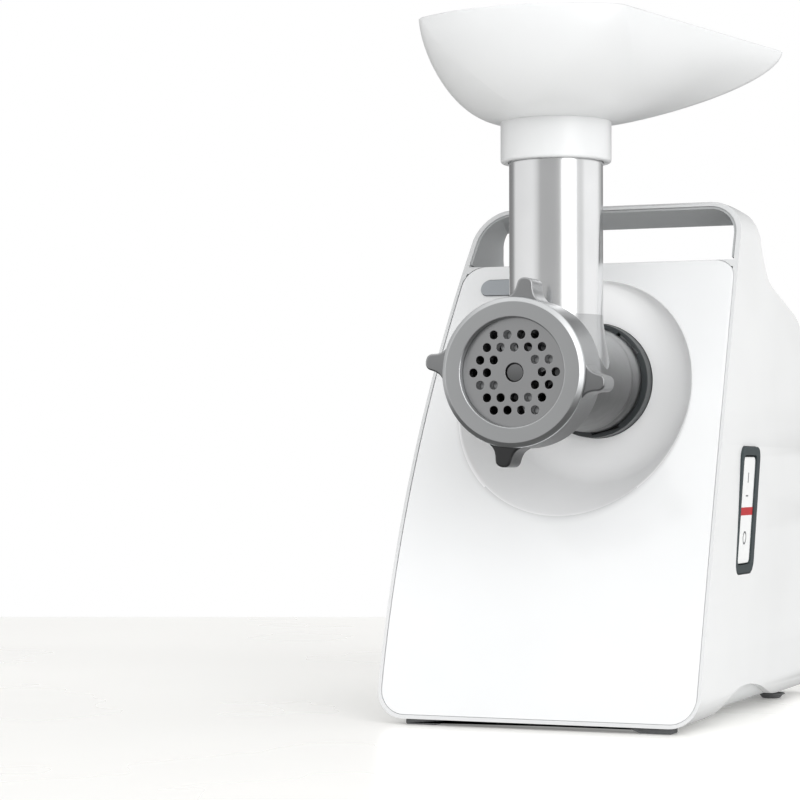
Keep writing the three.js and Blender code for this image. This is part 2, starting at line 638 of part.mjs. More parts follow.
// ---------------------------------------------------------------- mincing head
function headCasting() {
  const barrel = turned([
    [0, NUT_FRONT + 4.1], [30.4, NUT_FRONT + 4.1], [30.4, -112], [27.6, -108], [BARREL_RADIUS, -102],
    [BARREL_RADIUS, -40], [24.6, -33], [24.6, -22], [FLANGE_RADIUS, -20.4], [FLANGE_RADIUS, HEAD_BACK],
    [23, HEAD_BACK], [23, -6], [0, -6]]);
  const tube = upright(
    [[0, AXIS_Z], [TUBE_RADIUS - 0.5, AXIS_Z], [TUBE_RADIUS, TUBE_TOP], [0, TUBE_TOP]], 0, TUBE_Y);
  const lugs = [0, 1, 2].map((i) => {
    const lug = new THREE.BoxGeometry(11, 2.8, 8).translate(0, -9.8, 21.6);
    lug.rotateY((i / 3) * 2 * Math.PI);
    return meet(solid(lug.translate(0, 0, AXIS_Z)), rod(26, -20, 0));
  });
  const bore = turned([
    [0, -135], [PLATE_RADIUS + 0.55, -135], [PLATE_RADIUS + 0.55, NUT_FRONT + 9.3],
    [BORE_RADIUS + 1.2, NUT_FRONT + 9.3], [BORE_RADIUS, -60], [BORE_RADIUS, -24], [9.4, -24], [9.4, 0], [0, 0]]);
  const throat = upright([[0, AXIS_Z], [19.4, AXIS_Z], [19.9, TUBE_TOP + 2], [0, TUBE_TOP + 2]], 0, TUBE_Y);
  return cut(join(barrel, tube, ...lugs), bore, throat);
}

function ringNut() {
  const back = NUT_FRONT + NUT_LENGTH;
  const sleeve = turned([
    [OUTLET_RADIUS, NUT_FRONT + 1.4], [OUTLET_RADIUS + 1.2, NUT_FRONT + 0.4], [NUT_RADIUS - 3.2, NUT_FRONT],
    [NUT_RADIUS, NUT_FRONT + 2.4], [NUT_RADIUS, back - 1], [NUT_RADIUS - 1, back], [30.9, back],
    [30.9, NUT_FRONT + 3.6], [OUTLET_RADIUS, NUT_FRONT + 3.6],
    [OUTLET_RADIUS, NUT_FRONT + 1.4]], 0, AXIS_Z, 36);
  const wings = [];
  for (let i = 0; i < 4; i += 1) {
    const outline = polygon([
      [-7.6, 31.5], [7.6, 31.5], [4.4, 36], [3.8, 40.6], [2.4, 43.2],
      [-2.4, 43.2], [-3.8, 40.6], [-4.4, 36]]);
    const wing = extruded(outline, 15, 2).rotateX(Math.PI / 2).translate(0, NUT_FRONT + 18, 0);
    wings.push(solid(wing.rotateY(THREE.MathUtils.degToRad(7.5 + 90 * i)).translate(0, 0, AXIS_Z)));
  }
  return join(sleeve, ...wings);
}

function perforatedPlate() {
  const y0 = NUT_FRONT + 3.9;
  const shape = new THREE.Shape();
  shape.absarc(0, AXIS_Z, PLATE_RADIUS, 0, 2 * Math.PI, false);
  const hole = (x, z, r) => {
    const path = new THREE.Path();
    for (let k = 0; k < 6; k += 1) {
      const angle = -(k / 6) * 2 * Math.PI;
      path[k ? 'lineTo' : 'moveTo'](x + r * Math.cos(angle), AXIS_Z + z + r * Math.sin(angle));
    }
    path.closePath();
    shape.holes.push(path);
  };
  hole(0, 0, 4.8);
  const pitch = 6.6;
  for (let row = -3; row <= 3; row += 1) {
    for (let column = -4; column <= 4; column += 1) {
      const x = (column + (row % 2 ? 0.5 : 0)) * pitch;
      const z = row * pitch * Math.sin(Math.PI / 3);
      const r = Math.hypot(x, z);
      if (r > 7.5 && r < OUTLET_RADIUS - 2.6) hole(x, z, 2.4);
    }
  }
  return alongY(shape, y0, y0 + PLATE_THICK, 14);
}

function knife() {
  const points = [];
  for (let i = 0; i < 4; i += 1) {
    const centre = (i / 4) * 2 * Math.PI + 0.4;
    [[8, -0.55], [20.4, -0.2], [20.8, 0.12], [8.6, 0.42]].forEach(([r, turn]) => {
      points.push([r * Math.cos(centre + turn), AXIS_Z + r * Math.sin(centre + turn)]);
    });
  }
  const y0 = NUT_FRONT + 4 + PLATE_THICK + GAP;
  const hub = join(alongY(polygon(points), y0, y0 + 4), rod(9, y0, y0 + 7, 0, AXIS_Z, 20));
  const square = new THREE.BoxGeometry(9.6, 20, 9.6).translate(0, y0 + 2, AXIS_Z);
  return cut(hub, solid(square));
}

// The auger: a tapering core with one flight, whose section turns as it goes back.
function auger() {
  const start = NUT_FRONT + 4 + PLATE_THICK + GAP + 7.4;
  const end = -26;
  const steps = 30;
  const sides = 12;
  const rings = [];
  for (let i = 0; i <= steps; i += 1) {
    const y = start + (end - start) * (i / steps);
    const twist = (i / steps) * 3.1 * 2 * Math.PI;
    const core = 9.5 + 3.5 * (1 - i / steps);
    rings.push(Array.from({ length: sides }, (_, k) => {
      const angle = (k / sides) * 2 * Math.PI;
      const onFlight = Math.min(angle, 2 * Math.PI - angle) < 0.45;
      const radius = onFlight ? BORE_RADIUS - 0.9 : core;
      return new THREE.Vector3(radius * Math.cos(angle + twist), y, AXIS_Z + radius * Math.sin(angle + twist));
    }));
  }
  const square = new THREE.BoxGeometry(9, 8, 9).translate(0, start - 3.5, AXIS_Z);
  const stud = rod(3.9, NUT_FRONT + 5, start - 6, 0, AXIS_Z, SMALL_ROUND);
  const tail = rod(9, end - 0.5, -22.4, 0, AXIS_Z, 20);
  return join(skinned(rings, false), solid(square), stud, tail);
}

function augerDrive() {
  const collar = rod(8.9, -22, -8, 0, AXIS_Z, 20);
  const square = new THREE.BoxGeometry(10.8, 9, 10.8).translate(0, -4.6, AXIS_Z);
  return join(collar, solid(square));
}

// The tray's rim: a bowed front edge, straight flaring sides, a straight rear edge.
function trayRim(inset) {
  const points = [];
  const front = { half: 49.5 - inset, y: TRAY_FRONT + inset };
  const rear = { half: 86 - inset, y: TRAY_REAR - inset };
  const bow = 16.5;
  for (let i = 0; i < 10; i += 1) {
    const s = i / 10;
    points.push([front.half * (2 * s - 1), front.y - bow * (1 - (2 * s - 1) ** 2)]);
  }
  for (let i = 0; i < 8; i += 1) {
    const s = i / 8;
    points.push([front.half + (rear.half - front.half) * s, front.y + (rear.y - front.y) * s]);
  }
  for (let i = 0; i < 10; i += 1) {
    const s = i / 10;
    points.push([rear.half * (1 - 2 * s), rear.y]);
  }
  for (let i = 0; i < 8; i += 1) {
    const s = i / 8;
    points.push([-rear.half + (rear.half - front.half) * s, rear.y + (front.y - rear.y) * s]);
  }
  return points;
}

// How far the wall has risen, from 0 to 1, at a share of the way from the collar to the rim.
// At the front it stays low and then climbs steeply. At the rear it is one long slope.
function trayRise(share, rimY) {
  const along = THREE.MathUtils.smoothstep(rimY, TRAY_FRONT, TRAY_REAR);
  const front = 1 - (1 - share ** 2) ** 0.55;
  const rear = 1 - (1 - share ** 1.2) ** 0.62;
  return THREE.MathUtils.lerp(front, rear, along);
}

// One ring of the tray's wall. The height is a number, or a function of the rim point's Y.
function traySection(rim, radius, share, height) {
  return rim.map(([x, y]) => {
    const angle = Math.atan2(y - TUBE_Y, x);
    const cx = radius * Math.cos(angle);
    const cy = TUBE_Y + radius * Math.sin(angle);
    const z = typeof height === 'number' ? height : height(y);
    return new THREE.Vector3(cx + (x - cx) * share, cy + (y - cy) * share, z);
  });
}

function fillingTray() {
  const thick = 2;
  const shares = [0, 0.3, 0.55, 0.75, 0.88, 0.96, 1];
  const outside = trayRim(0);
  const inside = trayRim(thick);
  const height = TRAY_RIM_Z - TRAY_FLOOR_Z;
  const outerHeight = (s) => (y) => TRAY_FLOOR_Z + height * trayRise(s, y);
  const innerHeight = (s) => (y) => Math.min(
    TRAY_FLOOR_Z + thick + (height - thick) * trayRise(s, y) + (s === 1 ? 0 : 0.4), TRAY_RIM_Z);
  const rings = [
    traySection(outside, COLLAR_RADIUS - 1.4, 0, COLLAR_BOTTOM),
    traySection(outside, COLLAR_RADIUS, 0, COLLAR_BOTTOM + 1.2),
    ...shares.map((s) => traySection(outside, COLLAR_RADIUS, s, outerHeight(s))),
    ...shares.slice().reverse().map((s) => traySection(inside, 20, s, innerHeight(s))),
    traySection(inside, 20, 0, TUBE_TOP + GAP),
    traySection(inside, TUBE_RADIUS + 0.35, 0, TUBE_TOP + GAP),
    traySection(inside, TUBE_RADIUS + 0.35, 0, COLLAR_BOTTOM),
  ];
  return skinned(rings, true);
}

// ---------------------------------------------------------------- assembly
const grinder = new THREE.Group();
grinder.name = 'electric_meat_grinder';

const WHITE = { color: 0xf1f2f2, roughness: 0.22, metalness: 0 };
const GREY = { color: 0xa9acae, roughness: 0.45, metalness: 0 };
const DARK = { color: 0x3c4244, roughness: 0.5, metalness: 0 };
const RUBBER = { color: 0x55585a, roughness: 0.85, metalness: 0 };
const ALUMINIUM = { color: 0xb9bbbd, roughness: 0.32, metalness: 1 };
const STEEL = { color: 0x9a9da0, roughness: 0.3, metalness: 1 };
const NYLON = { color: 0xe6e2d6, roughness: 0.55, metalness: 0 };
const BRASS = { color: 0xb08d4f, roughness: 0.4, metalness: 1 };
const COPPER = { color: 0xb5713c, roughness: 0.35, metalness: 1 };
const BOARD = { color: 0x2f6b45, roughness: 0.6, metalness: 0 };

function add(name, body, finish) {
  const mesh = new THREE.Mesh(geometryOf(body), new THREE.MeshStandardMaterial(finish));
  mesh.name = name;
  grinder.add(mesh);
}

add('body_shell', bodyShell(), WHITE);
add('handle_liner', handleLiner(), GREY);
add('front_panel', frontPanel(), WHITE);
add('rear_cover', rearCover(), WHITE);
add('base_plate', basePlate(), GREY);
add('front_foot', frontFoot(), RUBBER);
add('rear_foot_left', pillFoot(-62), RUBBER);
add('rear_foot_right', pillFoot(62), RUBBER);
screwPlaces().forEach(([x, y], i) => {
  const screw = upright([[0, 2], [3.6, 2], [3.6, 2.7], [1.9, 2.8], [1.9, 7.4], [0, 7.4]], x, y, 12);
  add(`base_screw_${i + 1}`, screw, STEEL);
});
add('switch_bezel', switchBezel(), DARK);
add('power_rocker', powerRocker(), WHITE);
add('switch_body', switchBody(), DARK);
add('release_button', releaseButton(), GREY);
add('latch_bar', latchBar(), NYLON);
add('latch_spring', latchSpring(), STEEL);
add('drive_socket', driveSocket(), DARK);
add('cord_gland', cordGland(), RUBBER);

add('gearbox_front_plate', gearboxFrontPlate(), STEEL);
add('gearbox_rear_plate', gearboxRearPlate(), STEEL);
add('output_shaft', outputShaft(), STEEL);
add('output_bush', outputBush(), BRASS);
add('output_gear', outputGear(), NYLON);
add('idler_gear_upper', idlerB(), NYLON);
add('idler_gear_lower', idlerA(), NYLON);
add('idler_axle_upper', idlerAxle(IDLER_B), STEEL);
add('idler_axle_lower', idlerAxle(IDLER_A), STEEL);
add('motor_pinion', motorPinion(), STEEL);
add('motor_shaft', motorShaft(), STEEL);
add('armature', armatureStack(), STEEL);
add('commutator', commutator(), COPPER);
add('cooling_fan', coolingFan(), NYLON);
add('motor_bearing_front', motorBearing(43.2, 48.5, 11), STEEL);
add('motor_bearing_rear', motorBearing(116.5, 121.5, 8), STEEL);
add('stator', stator(), STEEL);
add('field_coil_upper', fieldCoil(1), COPPER);
add('field_coil_lower', fieldCoil(-1), COPPER);
add('brush_holder_left', brushHolder(-1), DARK);
add('brush_holder_right', brushHolder(1), DARK);
add('motor_rear_bracket', motorRearBracket(), STEEL);
add('motor_bolt_left', motorBolt(-1), STEEL);
add('motor_bolt_right', motorBolt(1), STEEL);
add('circuit_board', circuitBoard(), BOARD);

add('head_casting', headCasting(), ALUMINIUM);
add('auger', auger(), ALUMINIUM);
add('auger_drive_end', augerDrive(), DARK);
add('knife', knife(), STEEL);
add('perforated_plate', perforatedPlate(), STEEL);
add('ring_nut', ringNut(), ALUMINIUM);
add('filling_tray', fillingTray(), WHITE);

export default grinder;
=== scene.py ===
"""Looks of the electric meat grinder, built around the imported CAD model.

Lengths are millimetres in the CAD's frame until a mesh is made, which scales them to metres.
-Y is the front, +X the side with the power switch, +Z up.
"""
import math

import bmesh
import bpy
from mathutils import Matrix, Vector


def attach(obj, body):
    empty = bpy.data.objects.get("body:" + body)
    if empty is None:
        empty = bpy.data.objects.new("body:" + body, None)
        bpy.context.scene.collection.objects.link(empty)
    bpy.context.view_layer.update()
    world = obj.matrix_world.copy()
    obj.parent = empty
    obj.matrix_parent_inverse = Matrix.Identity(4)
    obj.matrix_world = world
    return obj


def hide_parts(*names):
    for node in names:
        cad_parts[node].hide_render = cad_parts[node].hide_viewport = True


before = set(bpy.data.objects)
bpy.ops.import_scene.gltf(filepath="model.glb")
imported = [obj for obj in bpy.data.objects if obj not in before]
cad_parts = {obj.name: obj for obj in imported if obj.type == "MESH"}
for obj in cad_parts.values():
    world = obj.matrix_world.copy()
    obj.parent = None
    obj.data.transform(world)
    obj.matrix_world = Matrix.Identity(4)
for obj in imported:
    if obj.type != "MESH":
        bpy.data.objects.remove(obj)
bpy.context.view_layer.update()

# ---------------------------------------------------------------- design sizes
MM = 0.001
AXIS_Z = 164.1
HANDLE_TOP = 254.0
CASING_BOTTOM = 3.0
CASING_BACK = 140.6
BACK_SLOPE = 0.08
TOP_CORNER = 19.0
LOW_CORNER = 14.0
ARCH_REACH = 66.0
ARCH_TOP = 16.8
SILL = 6.0
HALF_WIDTH = 78.42
WALL = 2.6
RIBBON = 2.4
LINER_GAP = 0.02
LINER = 1.3
PANEL_BOTTOM = 4.75
PANEL_TOP = 223.0
PANEL_INSET = 1.75
PANEL_THICK = 2.3
PANEL_CORNER = 12.0
RECESS_FLOOR = -6.8
RECESS_RADIUS = 49.0
RECESS_DRAFT = 0.26
SOCKET_RADIUS = 28.4
NUT_FRONT = -134.0
NUT_BACK = -108.0
NUT_RADIUS = 34.35
OUTLET_RADIUS = 24.9
PLATE_RADIUS = 26.5
TUBE_Y = -70.6
TUBE_RADIUS = 22.3
TUBE_BORE = 19.9
TUBE_TOP = 283.0
SKIRT_TOP = 193.0
BARREL_RADIUS = 25.4
SKIRT_FLARE = 3.0
FLANGE_RADIUS = 25.8
LUG_ANGLE = 45.0
WING_ANGLE = 7.5
TRAY_RIM_Z = 330.0
TRAY_FLOOR_Z = 285.0
TRAY_WALL = 2.0
TRAY_FRONT = -124.0
TRAY_REAR = 36.5
TRAY_FRONT_HALF = 49.5
TRAY_REAR_HALF = 86.0
TRAY_SIDE_LENGTH = 165.0
TRAY_BOW = 16.5
COLLAR_BOTTOM = 265.8
COLLAR_RADIUS = 26.4
WINDOW_HALF = 50.0
WINDOW_LOW = 26.0
WINDOW_HIGH = 176.0
WINDOW_CORNER = 14.0
GLAND_Z = 46.0
BUTTON_LEFT = -59.5
BUTTON_RIGHT = -30.0
BUTTON_LOW = 207.7
BUTTON_HIGH = 215.7
FIT_GAP = 0.3
SWITCH_PLACE = Vector((0, -14.2, 100.6))
SWITCH_LEAN = math.radians(15.8)
SWITCH_WIDTH = 33.0
SWITCH_HEIGHT = 61.0

# ---------------------------------------------------------------- view and light, in metres
LENS = 113.69
SENSOR = 36.0
EYE = (0.3839, -1.2095, 0.1215)
VIEW_YAW = math.radians(22.17)
VIEW_PITCH = math.radians(1.507)
TABLE_FAR = 2.045
FILL_POWER = 1.6
FILL_ANGLE = math.radians(70)


def front_y(z):
    """The leaning front face of the casing: its Y at a height."""
    return -106.26 + 0.2516 * z + 0.000918 * z * z


def half_width(z):
    """Half the casing's width at a height."""
    return HALF_WIDTH + 0.0199 * z - 0.000223 * z * z


# ---------------------------------------------------------------- mesh tools
def new_object(name, verts, faces, smooth=True):
    mesh = bpy.data.meshes.new(name)
    mesh.from_pydata([(x * MM, y * MM, z * MM) for x, y, z in verts], [], faces)
    mesh.validate()
    obj = bpy.data.objects.new(name, mesh)
    bpy.context.scene.collection.objects.link(obj)
    tidy_mesh(obj)
    if smooth:
        mesh.shade_smooth()
    return obj


def tidy_mesh(obj, merge=1e-6):
    bm = bmesh.new()
    bm.from_mesh(obj.data)
    bmesh.ops.remove_doubles(bm, verts=bm.verts, dist=merge)
    bmesh.ops.dissolve_degenerate(bm, edges=bm.edges, dist=1e-7)
    bmesh.ops.recalc_face_normals(bm, faces=bm.faces)
    bm.to_mesh(obj.data)
    bm.free()


def bake(obj):
    """Makes the object's modifiers part of its mesh."""
    graph = bpy.context.evaluated_depsgraph_get()
    mesh = bpy.data.meshes.new_from_object(obj.evaluated_get(graph))
    old = obj.data
    obj.modifiers.clear()
    obj.data = mesh
    bpy.data.meshes.remove(old)
    return obj


def combine(base, tool, operation="DIFFERENCE"):
    """Cuts, joins or intersects base with tool, and deletes the tool."""
    mod = base.modifiers.new("bool", "BOOLEAN")
    mod.operation = operation
    mod.solver = "EXACT"
    mod.object = tool
    bake(base)
    bpy.data.objects.remove(tool)
    return base


def bevel(obj, width, segments=3, angle=35):
    mod = obj.modifiers.new("bevel", "BEVEL")
    mod.width = width * MM
    mod.segments = segments
    mod.limit_method = "ANGLE"
    mod.angle_limit = math.radians(angle)
    mod.use_clamp_overlap = True
    bake(obj)
    return obj


def shade(obj, angle=30):
    """Smooth shading with flat faces kept flat across sharp edges."""
    obj.data.shade_smooth()
    obj.data.set_sharp_from_angle(angle=math.radians(angle))
    mod = obj.modifiers.new("normals", "WEIGHTED_NORMAL")
    mod.keep_sharp = True
    mod.weight = 60
    return obj


def prism(name, outline, axis, low, high):
    """Pushes a closed outline along an axis.

    Outlines are (x, z) for Y, (y, z) for X and (x, y) for Z.
    """
    place = {
        "X": lambda u, v, w: (w, u, v),
        "Y": lambda u, v, w: (u, w, v),
        "Z": lambda u, v, w: (u, v, w),
    }[axis]
    n = len(outline)
    verts = [place(u, v, low) for u, v in outline]
    verts += [place(u, v, high) for u, v in outline]
    faces = [tuple(range(n)), tuple(range(2 * n - 1, n - 1, -1))]
    faces += [(i, (i + 1) % n, n + (i + 1) % n, n + i) for i in range(n)]
    return new_object(name, verts, faces, smooth=False)


def box(name, x0, x1, y0, y1, z0, z1):
    return prism(name, [(x0, y0), (x1, y0), (x1, y1), (x0, y1)], "Z", z0, z1)


def arc(cu, cv, r, start, end, steps):
    """Points on an arc, angles in degrees."""
    return [
        (cu + r * math.cos(math.radians(start + (end - start) * i / steps)),
         cv + r * math.sin(math.radians(start + (end - start) * i / steps)))
        for i in range(steps + 1)
    ]


def rounded(u0, u1, v0, v1, r, steps=8):
    return (
        arc(u1 - r, v0 + r, r, -90, 0, steps) + arc(u1 - r, v1 - r, r, 0, 90, steps)
        + arc(u0 + r, v1 - r, r, 90, 180, steps) + arc(u0 + r, v0 + r, r, 180, 270, steps)
    )


def skin(name, rings, closed_loop=False, caps=True):
    """Joins rings of equal point count with quads."""
    n = len(rings[0])
    verts = [p for ring in rings for p in ring]
    faces = []
    bands = len(rings) if closed_loop else len(rings) - 1
    for i in range(bands):
        a, b = i * n, ((i + 1) % len(rings)) * n
        faces += [(a + k, a + (k + 1) % n, b + (k + 1) % n, b + k) for k in range(n)]
    if caps and not closed_loop:
        faces.append(tuple(range(n - 1, -1, -1)))
        faces.append(tuple(range((len(rings) - 1) * n, len(rings) * n)))
    return new_object(name, verts, faces)


def circle(cu, cv, r, sides):
    return arc(cu, cv, r, 0, 360, sides)[:-1]


def turned(name, profile, sides=96, x=0.0, z=AXIS_Z, closed=True):
    """Revolves (radius, y) points about a line along Y."""
    rings = []
    for r, along in profile:
        rings.append([(u, along, v) for u, v in circle(x, z, max(r, 1e-3), sides)])
    return skin(name, rings, closed_loop=closed, caps=not closed)


def upright(name, profile, x, y, sides=96):
    """Revolves (radius, z) points about an upright line."""
    rings = []
    for r, height in profile:
        rings.append([(u, v, height) for u, v in circle(x, y, max(r, 1e-3), sides)])
    return skin(name, rings)


def about_axis(obj, degrees):
    """Turns a piece drawn about the origin round the head's axis, and lifts it there."""
    lift = Matrix.Translation((0, 0, AXIS_Z * MM))
    obj.data.transform(lift @ Matrix.Rotation(math.radians(degrees), 4, "Y"))
    return obj


def bend(start, middle, end, steps):
    """Points on a curve from start to end that is pulled towards the middle point."""
    out = []
    for i in range(steps + 1):
        t = i / steps
        out.append(tuple(start * (1 - t) ** 2 + middle * 2 * t * (1 - t) + end * t * t))
    return out


def softened(profile, radius, steps=4):
    """Rounds the corners of a closed profile, with a reach of about the given radius."""
    out = []
    n = len(profile)
    for i in range(n):
        p = Vector(profile[i])
        before, after = Vector(profile[i - 1]), Vector(profile[(i + 1) % n])
        to_a, to_b = before - p, after - p
        reach = min(radius, to_a.length * 0.45, to_b.length * 0.45)
        if reach < 0.02 or abs(to_a.normalized().cross(to_b.normalized())) < 0.15:
            out.append(tuple(p))
            continue
        out += bend(p + to_a.normalized() * reach, p, p + to_b.normalized() * reach, steps)
    return out


# ---------------------------------------------------------------- materials
def material(name, colour, rough, metal=0.0):
    mat = bpy.data.materials.new(name)
    mat.use_nodes = True
    shader = mat.node_tree.nodes["Principled BSDF"]
    shader.inputs["Base Color"].default_value = (*colour, 1)
    shader.inputs["Roughness"].default_value = rough
    shader.inputs["Metallic"].default_value = metal
    return mat, shader


def node(mat, kind, **inputs):
    made = mat.node_tree.nodes.new(kind)
    for key, value in inputs.items():
        made.inputs[key].default_value = value
    return made


def surface_noise(mat, scale, detail=3.0, stretch=(1, 1, 1)):
    """A noise in object space, so it stays put on the piece."""
    coords = node(mat, "ShaderNodeTexCoord")
    mapping = node(mat, "ShaderNodeMapping", Scale=stretch)
    noise = node(mat, "ShaderNodeTexNoise", Scale=scale, Detail=detail)
    mat.node_tree.links.new(coords.outputs["Object"], mapping.inputs["Vector"])
    mat.node_tree.links.new(mapping.outputs["Vector"], noise.inputs["Vector"])
    return noise.outputs["Fac"]


def vary_colour(mat, shader, fac, low, high):
    ramp = node(mat, "ShaderNodeValToRGB")
    ramp.color_ramp.elements[0].color = (*low, 1)
    ramp.color_ramp.elements[1].color = (*high, 1)
    mat.node_tree.links.new(fac, ramp.inputs["Fac"])
    mat.node_tree.links.new(ramp.outputs["Color"], shader.inputs["Base Color"])


def vary_roughness(mat, shader, fac, low, high):
    spread = node(mat, "ShaderNodeMapRange")
    spread.inputs["To Min"].default_value = low
    spread.inputs["To Max"].default_value = high
    mat.node_tree.links.new(fac, spread.inputs["Value"])
    mat.node_tree.links.new(spread.outputs["Result"], shader.inputs["Roughness"])


def grain(mat, shader, fac, strength, distance):
    bump = node(mat, "ShaderNodeBump", Strength=strength, Distance=distance * MM)
    mat.node_tree.links.new(fac, bump.inputs["Height"])
    mat.node_tree.links.new(bump.outputs["Normal"], shader.inputs["Normal"])


def tint(colour, factor):
    return tuple(min(c * factor, 1.0) for c in colour)


def plastic(name, colour, rough, grain_scale=900, grain_depth=0.03, coat=0.0, soft=0.0):
    """Moulded plastic: slight tone and gloss changes over the part and a fine surface grain."""
    mat, shader = material(name, colour, rough)
    broad = surface_noise(mat, 14, 2.0)
    fine = surface_noise(mat, grain_scale, 2.0)
    vary_colour(mat, shader, broad, tint(colour, 0.954), tint(colour, 1.033))
    vary_roughness(mat, shader, broad, rough * 0.88, rough * 1.14)
    grain(mat, shader, fine, 0.25, grain_depth)
    shader.inputs["Coat Weight"].default_value = coat
    shader.inputs["Coat Roughness"].default_value = 0.06
    if soft:
        shader.inputs["Subsurface Weight"].default_value = soft
        shader.inputs["Subsurface Radius"].default_value = (0.004, 0.004, 0.004)
    return mat


def metal(name, colour, rough, stretch=(1, 1, 1), scale=400, depth=0.02, blotch=40, wear=1.0):
    """Worked metal: fine marks drawn out along the working direction, and faint cloudiness."""
    mat, shader = material(name, colour, rough, 1.0)
    marks = surface_noise(mat, scale, 3.0, stretch)
    cloud = surface_noise(mat, blotch, 2.0)
    vary_colour(mat, shader, cloud, tint(colour, 1 - 0.13 * wear), tint(colour, 1 + 0.11 * wear))
    vary_roughness(mat, shader, marks, rough * (1 - 0.25 * wear), rough * (1 + 0.3 * wear))
    grain(mat, shader, marks, 0.35 * wear, depth)
    return mat


# Each plastic keeps its roughness on one side of about 0.274. Where it crosses that value,
# patches show in the render.
CASING = plastic("casing_white", (0.76, 0.767, 0.772), 0.24, coat=0.2)
EDGE_GREY = plastic("edge_grey", (0.59, 0.597, 0.602), 0.315, coat=0.2)
PANEL = plastic("panel_white", (0.705, 0.713, 0.72), 0.16, grain_scale=300, grain_depth=0.008,
                coat=0.6)
# Painted light: the recess is part of the panel's moulding, given a paler white that stands in for
# light its walls keep off.
RECESS = plastic("recess_painted_light", (0.91, 0.915, 0.92), 0.35, grain_scale=300, grain_depth=0.008)
LINER_GREY = plastic("handle_grey", (0.36, 0.37, 0.375), 0.5, grain_scale=1500, grain_depth=0.06)
BASE_GREY = plastic("base_grey", (0.62, 0.63, 0.635), 0.45, grain_depth=0.05)
BUTTON_GREY = plastic("button_grey", (0.3, 0.32, 0.34), 0.38)
DARK = plastic("dark_plastic", (0.035, 0.04, 0.042), 0.34, grain_depth=0.04)
BEZEL = plastic("bezel_grey", (0.03, 0.042, 0.045), 0.65, grain_depth=0.04)
ROCKER = plastic("rocker_white", (0.8, 0.81, 0.81), 0.24)
RED = plastic("signal_red", (0.42, 0.006, 0.01), 0.55)
MARK = plastic("mark_grey", (0.1, 0.105, 0.11), 0.5)
RUBBER = plastic("foot_rubber", (0.11, 0.113, 0.116), 0.8, grain_scale=1200, grain_depth=0.1)
TRAY = plastic("tray_white", (0.64, 0.648, 0.655), 0.315, coat=0.1, soft=0.1)
NYLON = plastic("nylon", (0.76, 0.72, 0.62), 0.5)
BOARD = plastic("board_green", (0.05, 0.2, 0.1), 0.45)
TUBE_METAL = metal("tube_aluminium", (0.78, 0.785, 0.79), 0.18, stretch=(30, 30, 1), scale=20,
                   depth=0.002, wear=0.6)
# The cast and side aluminium get painted shade by height further down.
CAST_METAL = metal("cast_aluminium", (0.40, 0.405, 0.41), 0.32, scale=220, depth=0.004, wear=0.5)
SKIRT_METAL = metal("skirt_aluminium", (0.55, 0.555, 0.56), 0.24, scale=220, depth=0.002, wear=0.4)
NUT_METAL = metal("nut_aluminium", (0.57, 0.58, 0.585), 0.3, scale=700, depth=0.0006, wear=0.3)
SIDE_METAL = metal("side_aluminium", (0.4, 0.405, 0.41), 0.3, scale=400, depth=0.002, wear=0.4)
STEEL = metal("ground_steel", (0.48, 0.485, 0.49), 0.3, stretch=(6, 1, 1), scale=400, depth=0.001,
              wear=0.4)
LAMINATION = metal("lamination", (0.22, 0.22, 0.225), 0.5, stretch=(1, 60, 1), scale=40, depth=0.1)
BRONZE = metal("bronze", (0.45, 0.3, 0.14), 0.4)
COPPER = metal("copper_wire", (0.55, 0.22, 0.08), 0.35, stretch=(1, 1, 40), scale=60, depth=0.1)


def painted_shade_by_height(mat, low, high, bottom, top):
    """Painted shade and light: scales a metal's colour from bottom to top between two heights."""
    links = mat.node_tree.links
    shader = mat.node_tree.nodes["Principled BSDF"]
    colour = shader.inputs["Base Color"].links[0].from_socket
    split = node(mat, "ShaderNodeSeparateXYZ")
    links.new(node(mat, "ShaderNodeTexCoord").outputs["Object"], split.inputs["Vector"])
    height = node(mat, "ShaderNodeMapRange")
    height.interpolation_type = "SMOOTHSTEP"
    height.inputs["From Min"].default_value = low * MM
    height.inputs["From Max"].default_value = high * MM
    height.inputs["To Min"].default_value = bottom
    height.inputs["To Max"].default_value = top
    links.new(split.outputs["Z"], height.inputs["Value"])
    scale = node(mat, "ShaderNodeVectorMath")
    scale.operation = "SCALE"
    links.new(colour, scale.inputs["Vector"])
    links.new(height.outputs["Result"], scale.inputs["Scale"])
    links.new(scale.outputs["Vector"], shader.inputs["Base Color"])


# Painted shade and light: the casting darkens towards its underside and is lighter on top; the nut's
# sides and wings darken below.
painted_shade_by_height(CAST_METAL, 150, 184, 0.22, 1.15)
painted_shade_by_height(SIDE_METAL, 128, 176, 0.2, 1.0)


def dress(obj, mat):
    obj.data.materials.clear()
    obj.data.materials.append(mat)
    return obj


def second_finish(obj, mat, belongs):
    """Gives the faces whose centre and normal pass the test a second material."""
    obj.data.materials.append(mat)
    for face in obj.data.polygons:
        if belongs(face.center / MM, face.normal):
            face.material_index = 1


def place(obj, body, mat, slot, *stands_for):
    """Finishes a piece: its material, the body it moves with and the CAD nodes it stands for."""
    dress(obj, mat)
    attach(obj, body)
    if stands_for:
        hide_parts(*stands_for)
    return obj


# ---------------------------------------------------------------- camera, light and stage
def make_camera():
    data = bpy.data.cameras.new("camera")
    data.lens = LENS
    data.sensor_width = SENSOR
    data.clip_start = 0.05
    data.clip_end = 50
    cam = bpy.data.objects.new("camera", data)
    x = -math.sin(VIEW_YAW) * math.cos(VIEW_PITCH)
    y = math.cos(VIEW_YAW) * math.cos(VIEW_PITCH)
    forward = Vector((x, y, math.sin(VIEW_PITCH)))
    cam.location = EYE
    cam.rotation_mode = "QUATERNION"
    cam.rotation_quaternion = forward.to_track_quat("-Z", "Y")
    bpy.context.scene.collection.objects.link(cam)
    bpy.context.scene.camera = cam
    return cam.location.copy(), Vector((forward.x, forward.y, 0)).normalized()


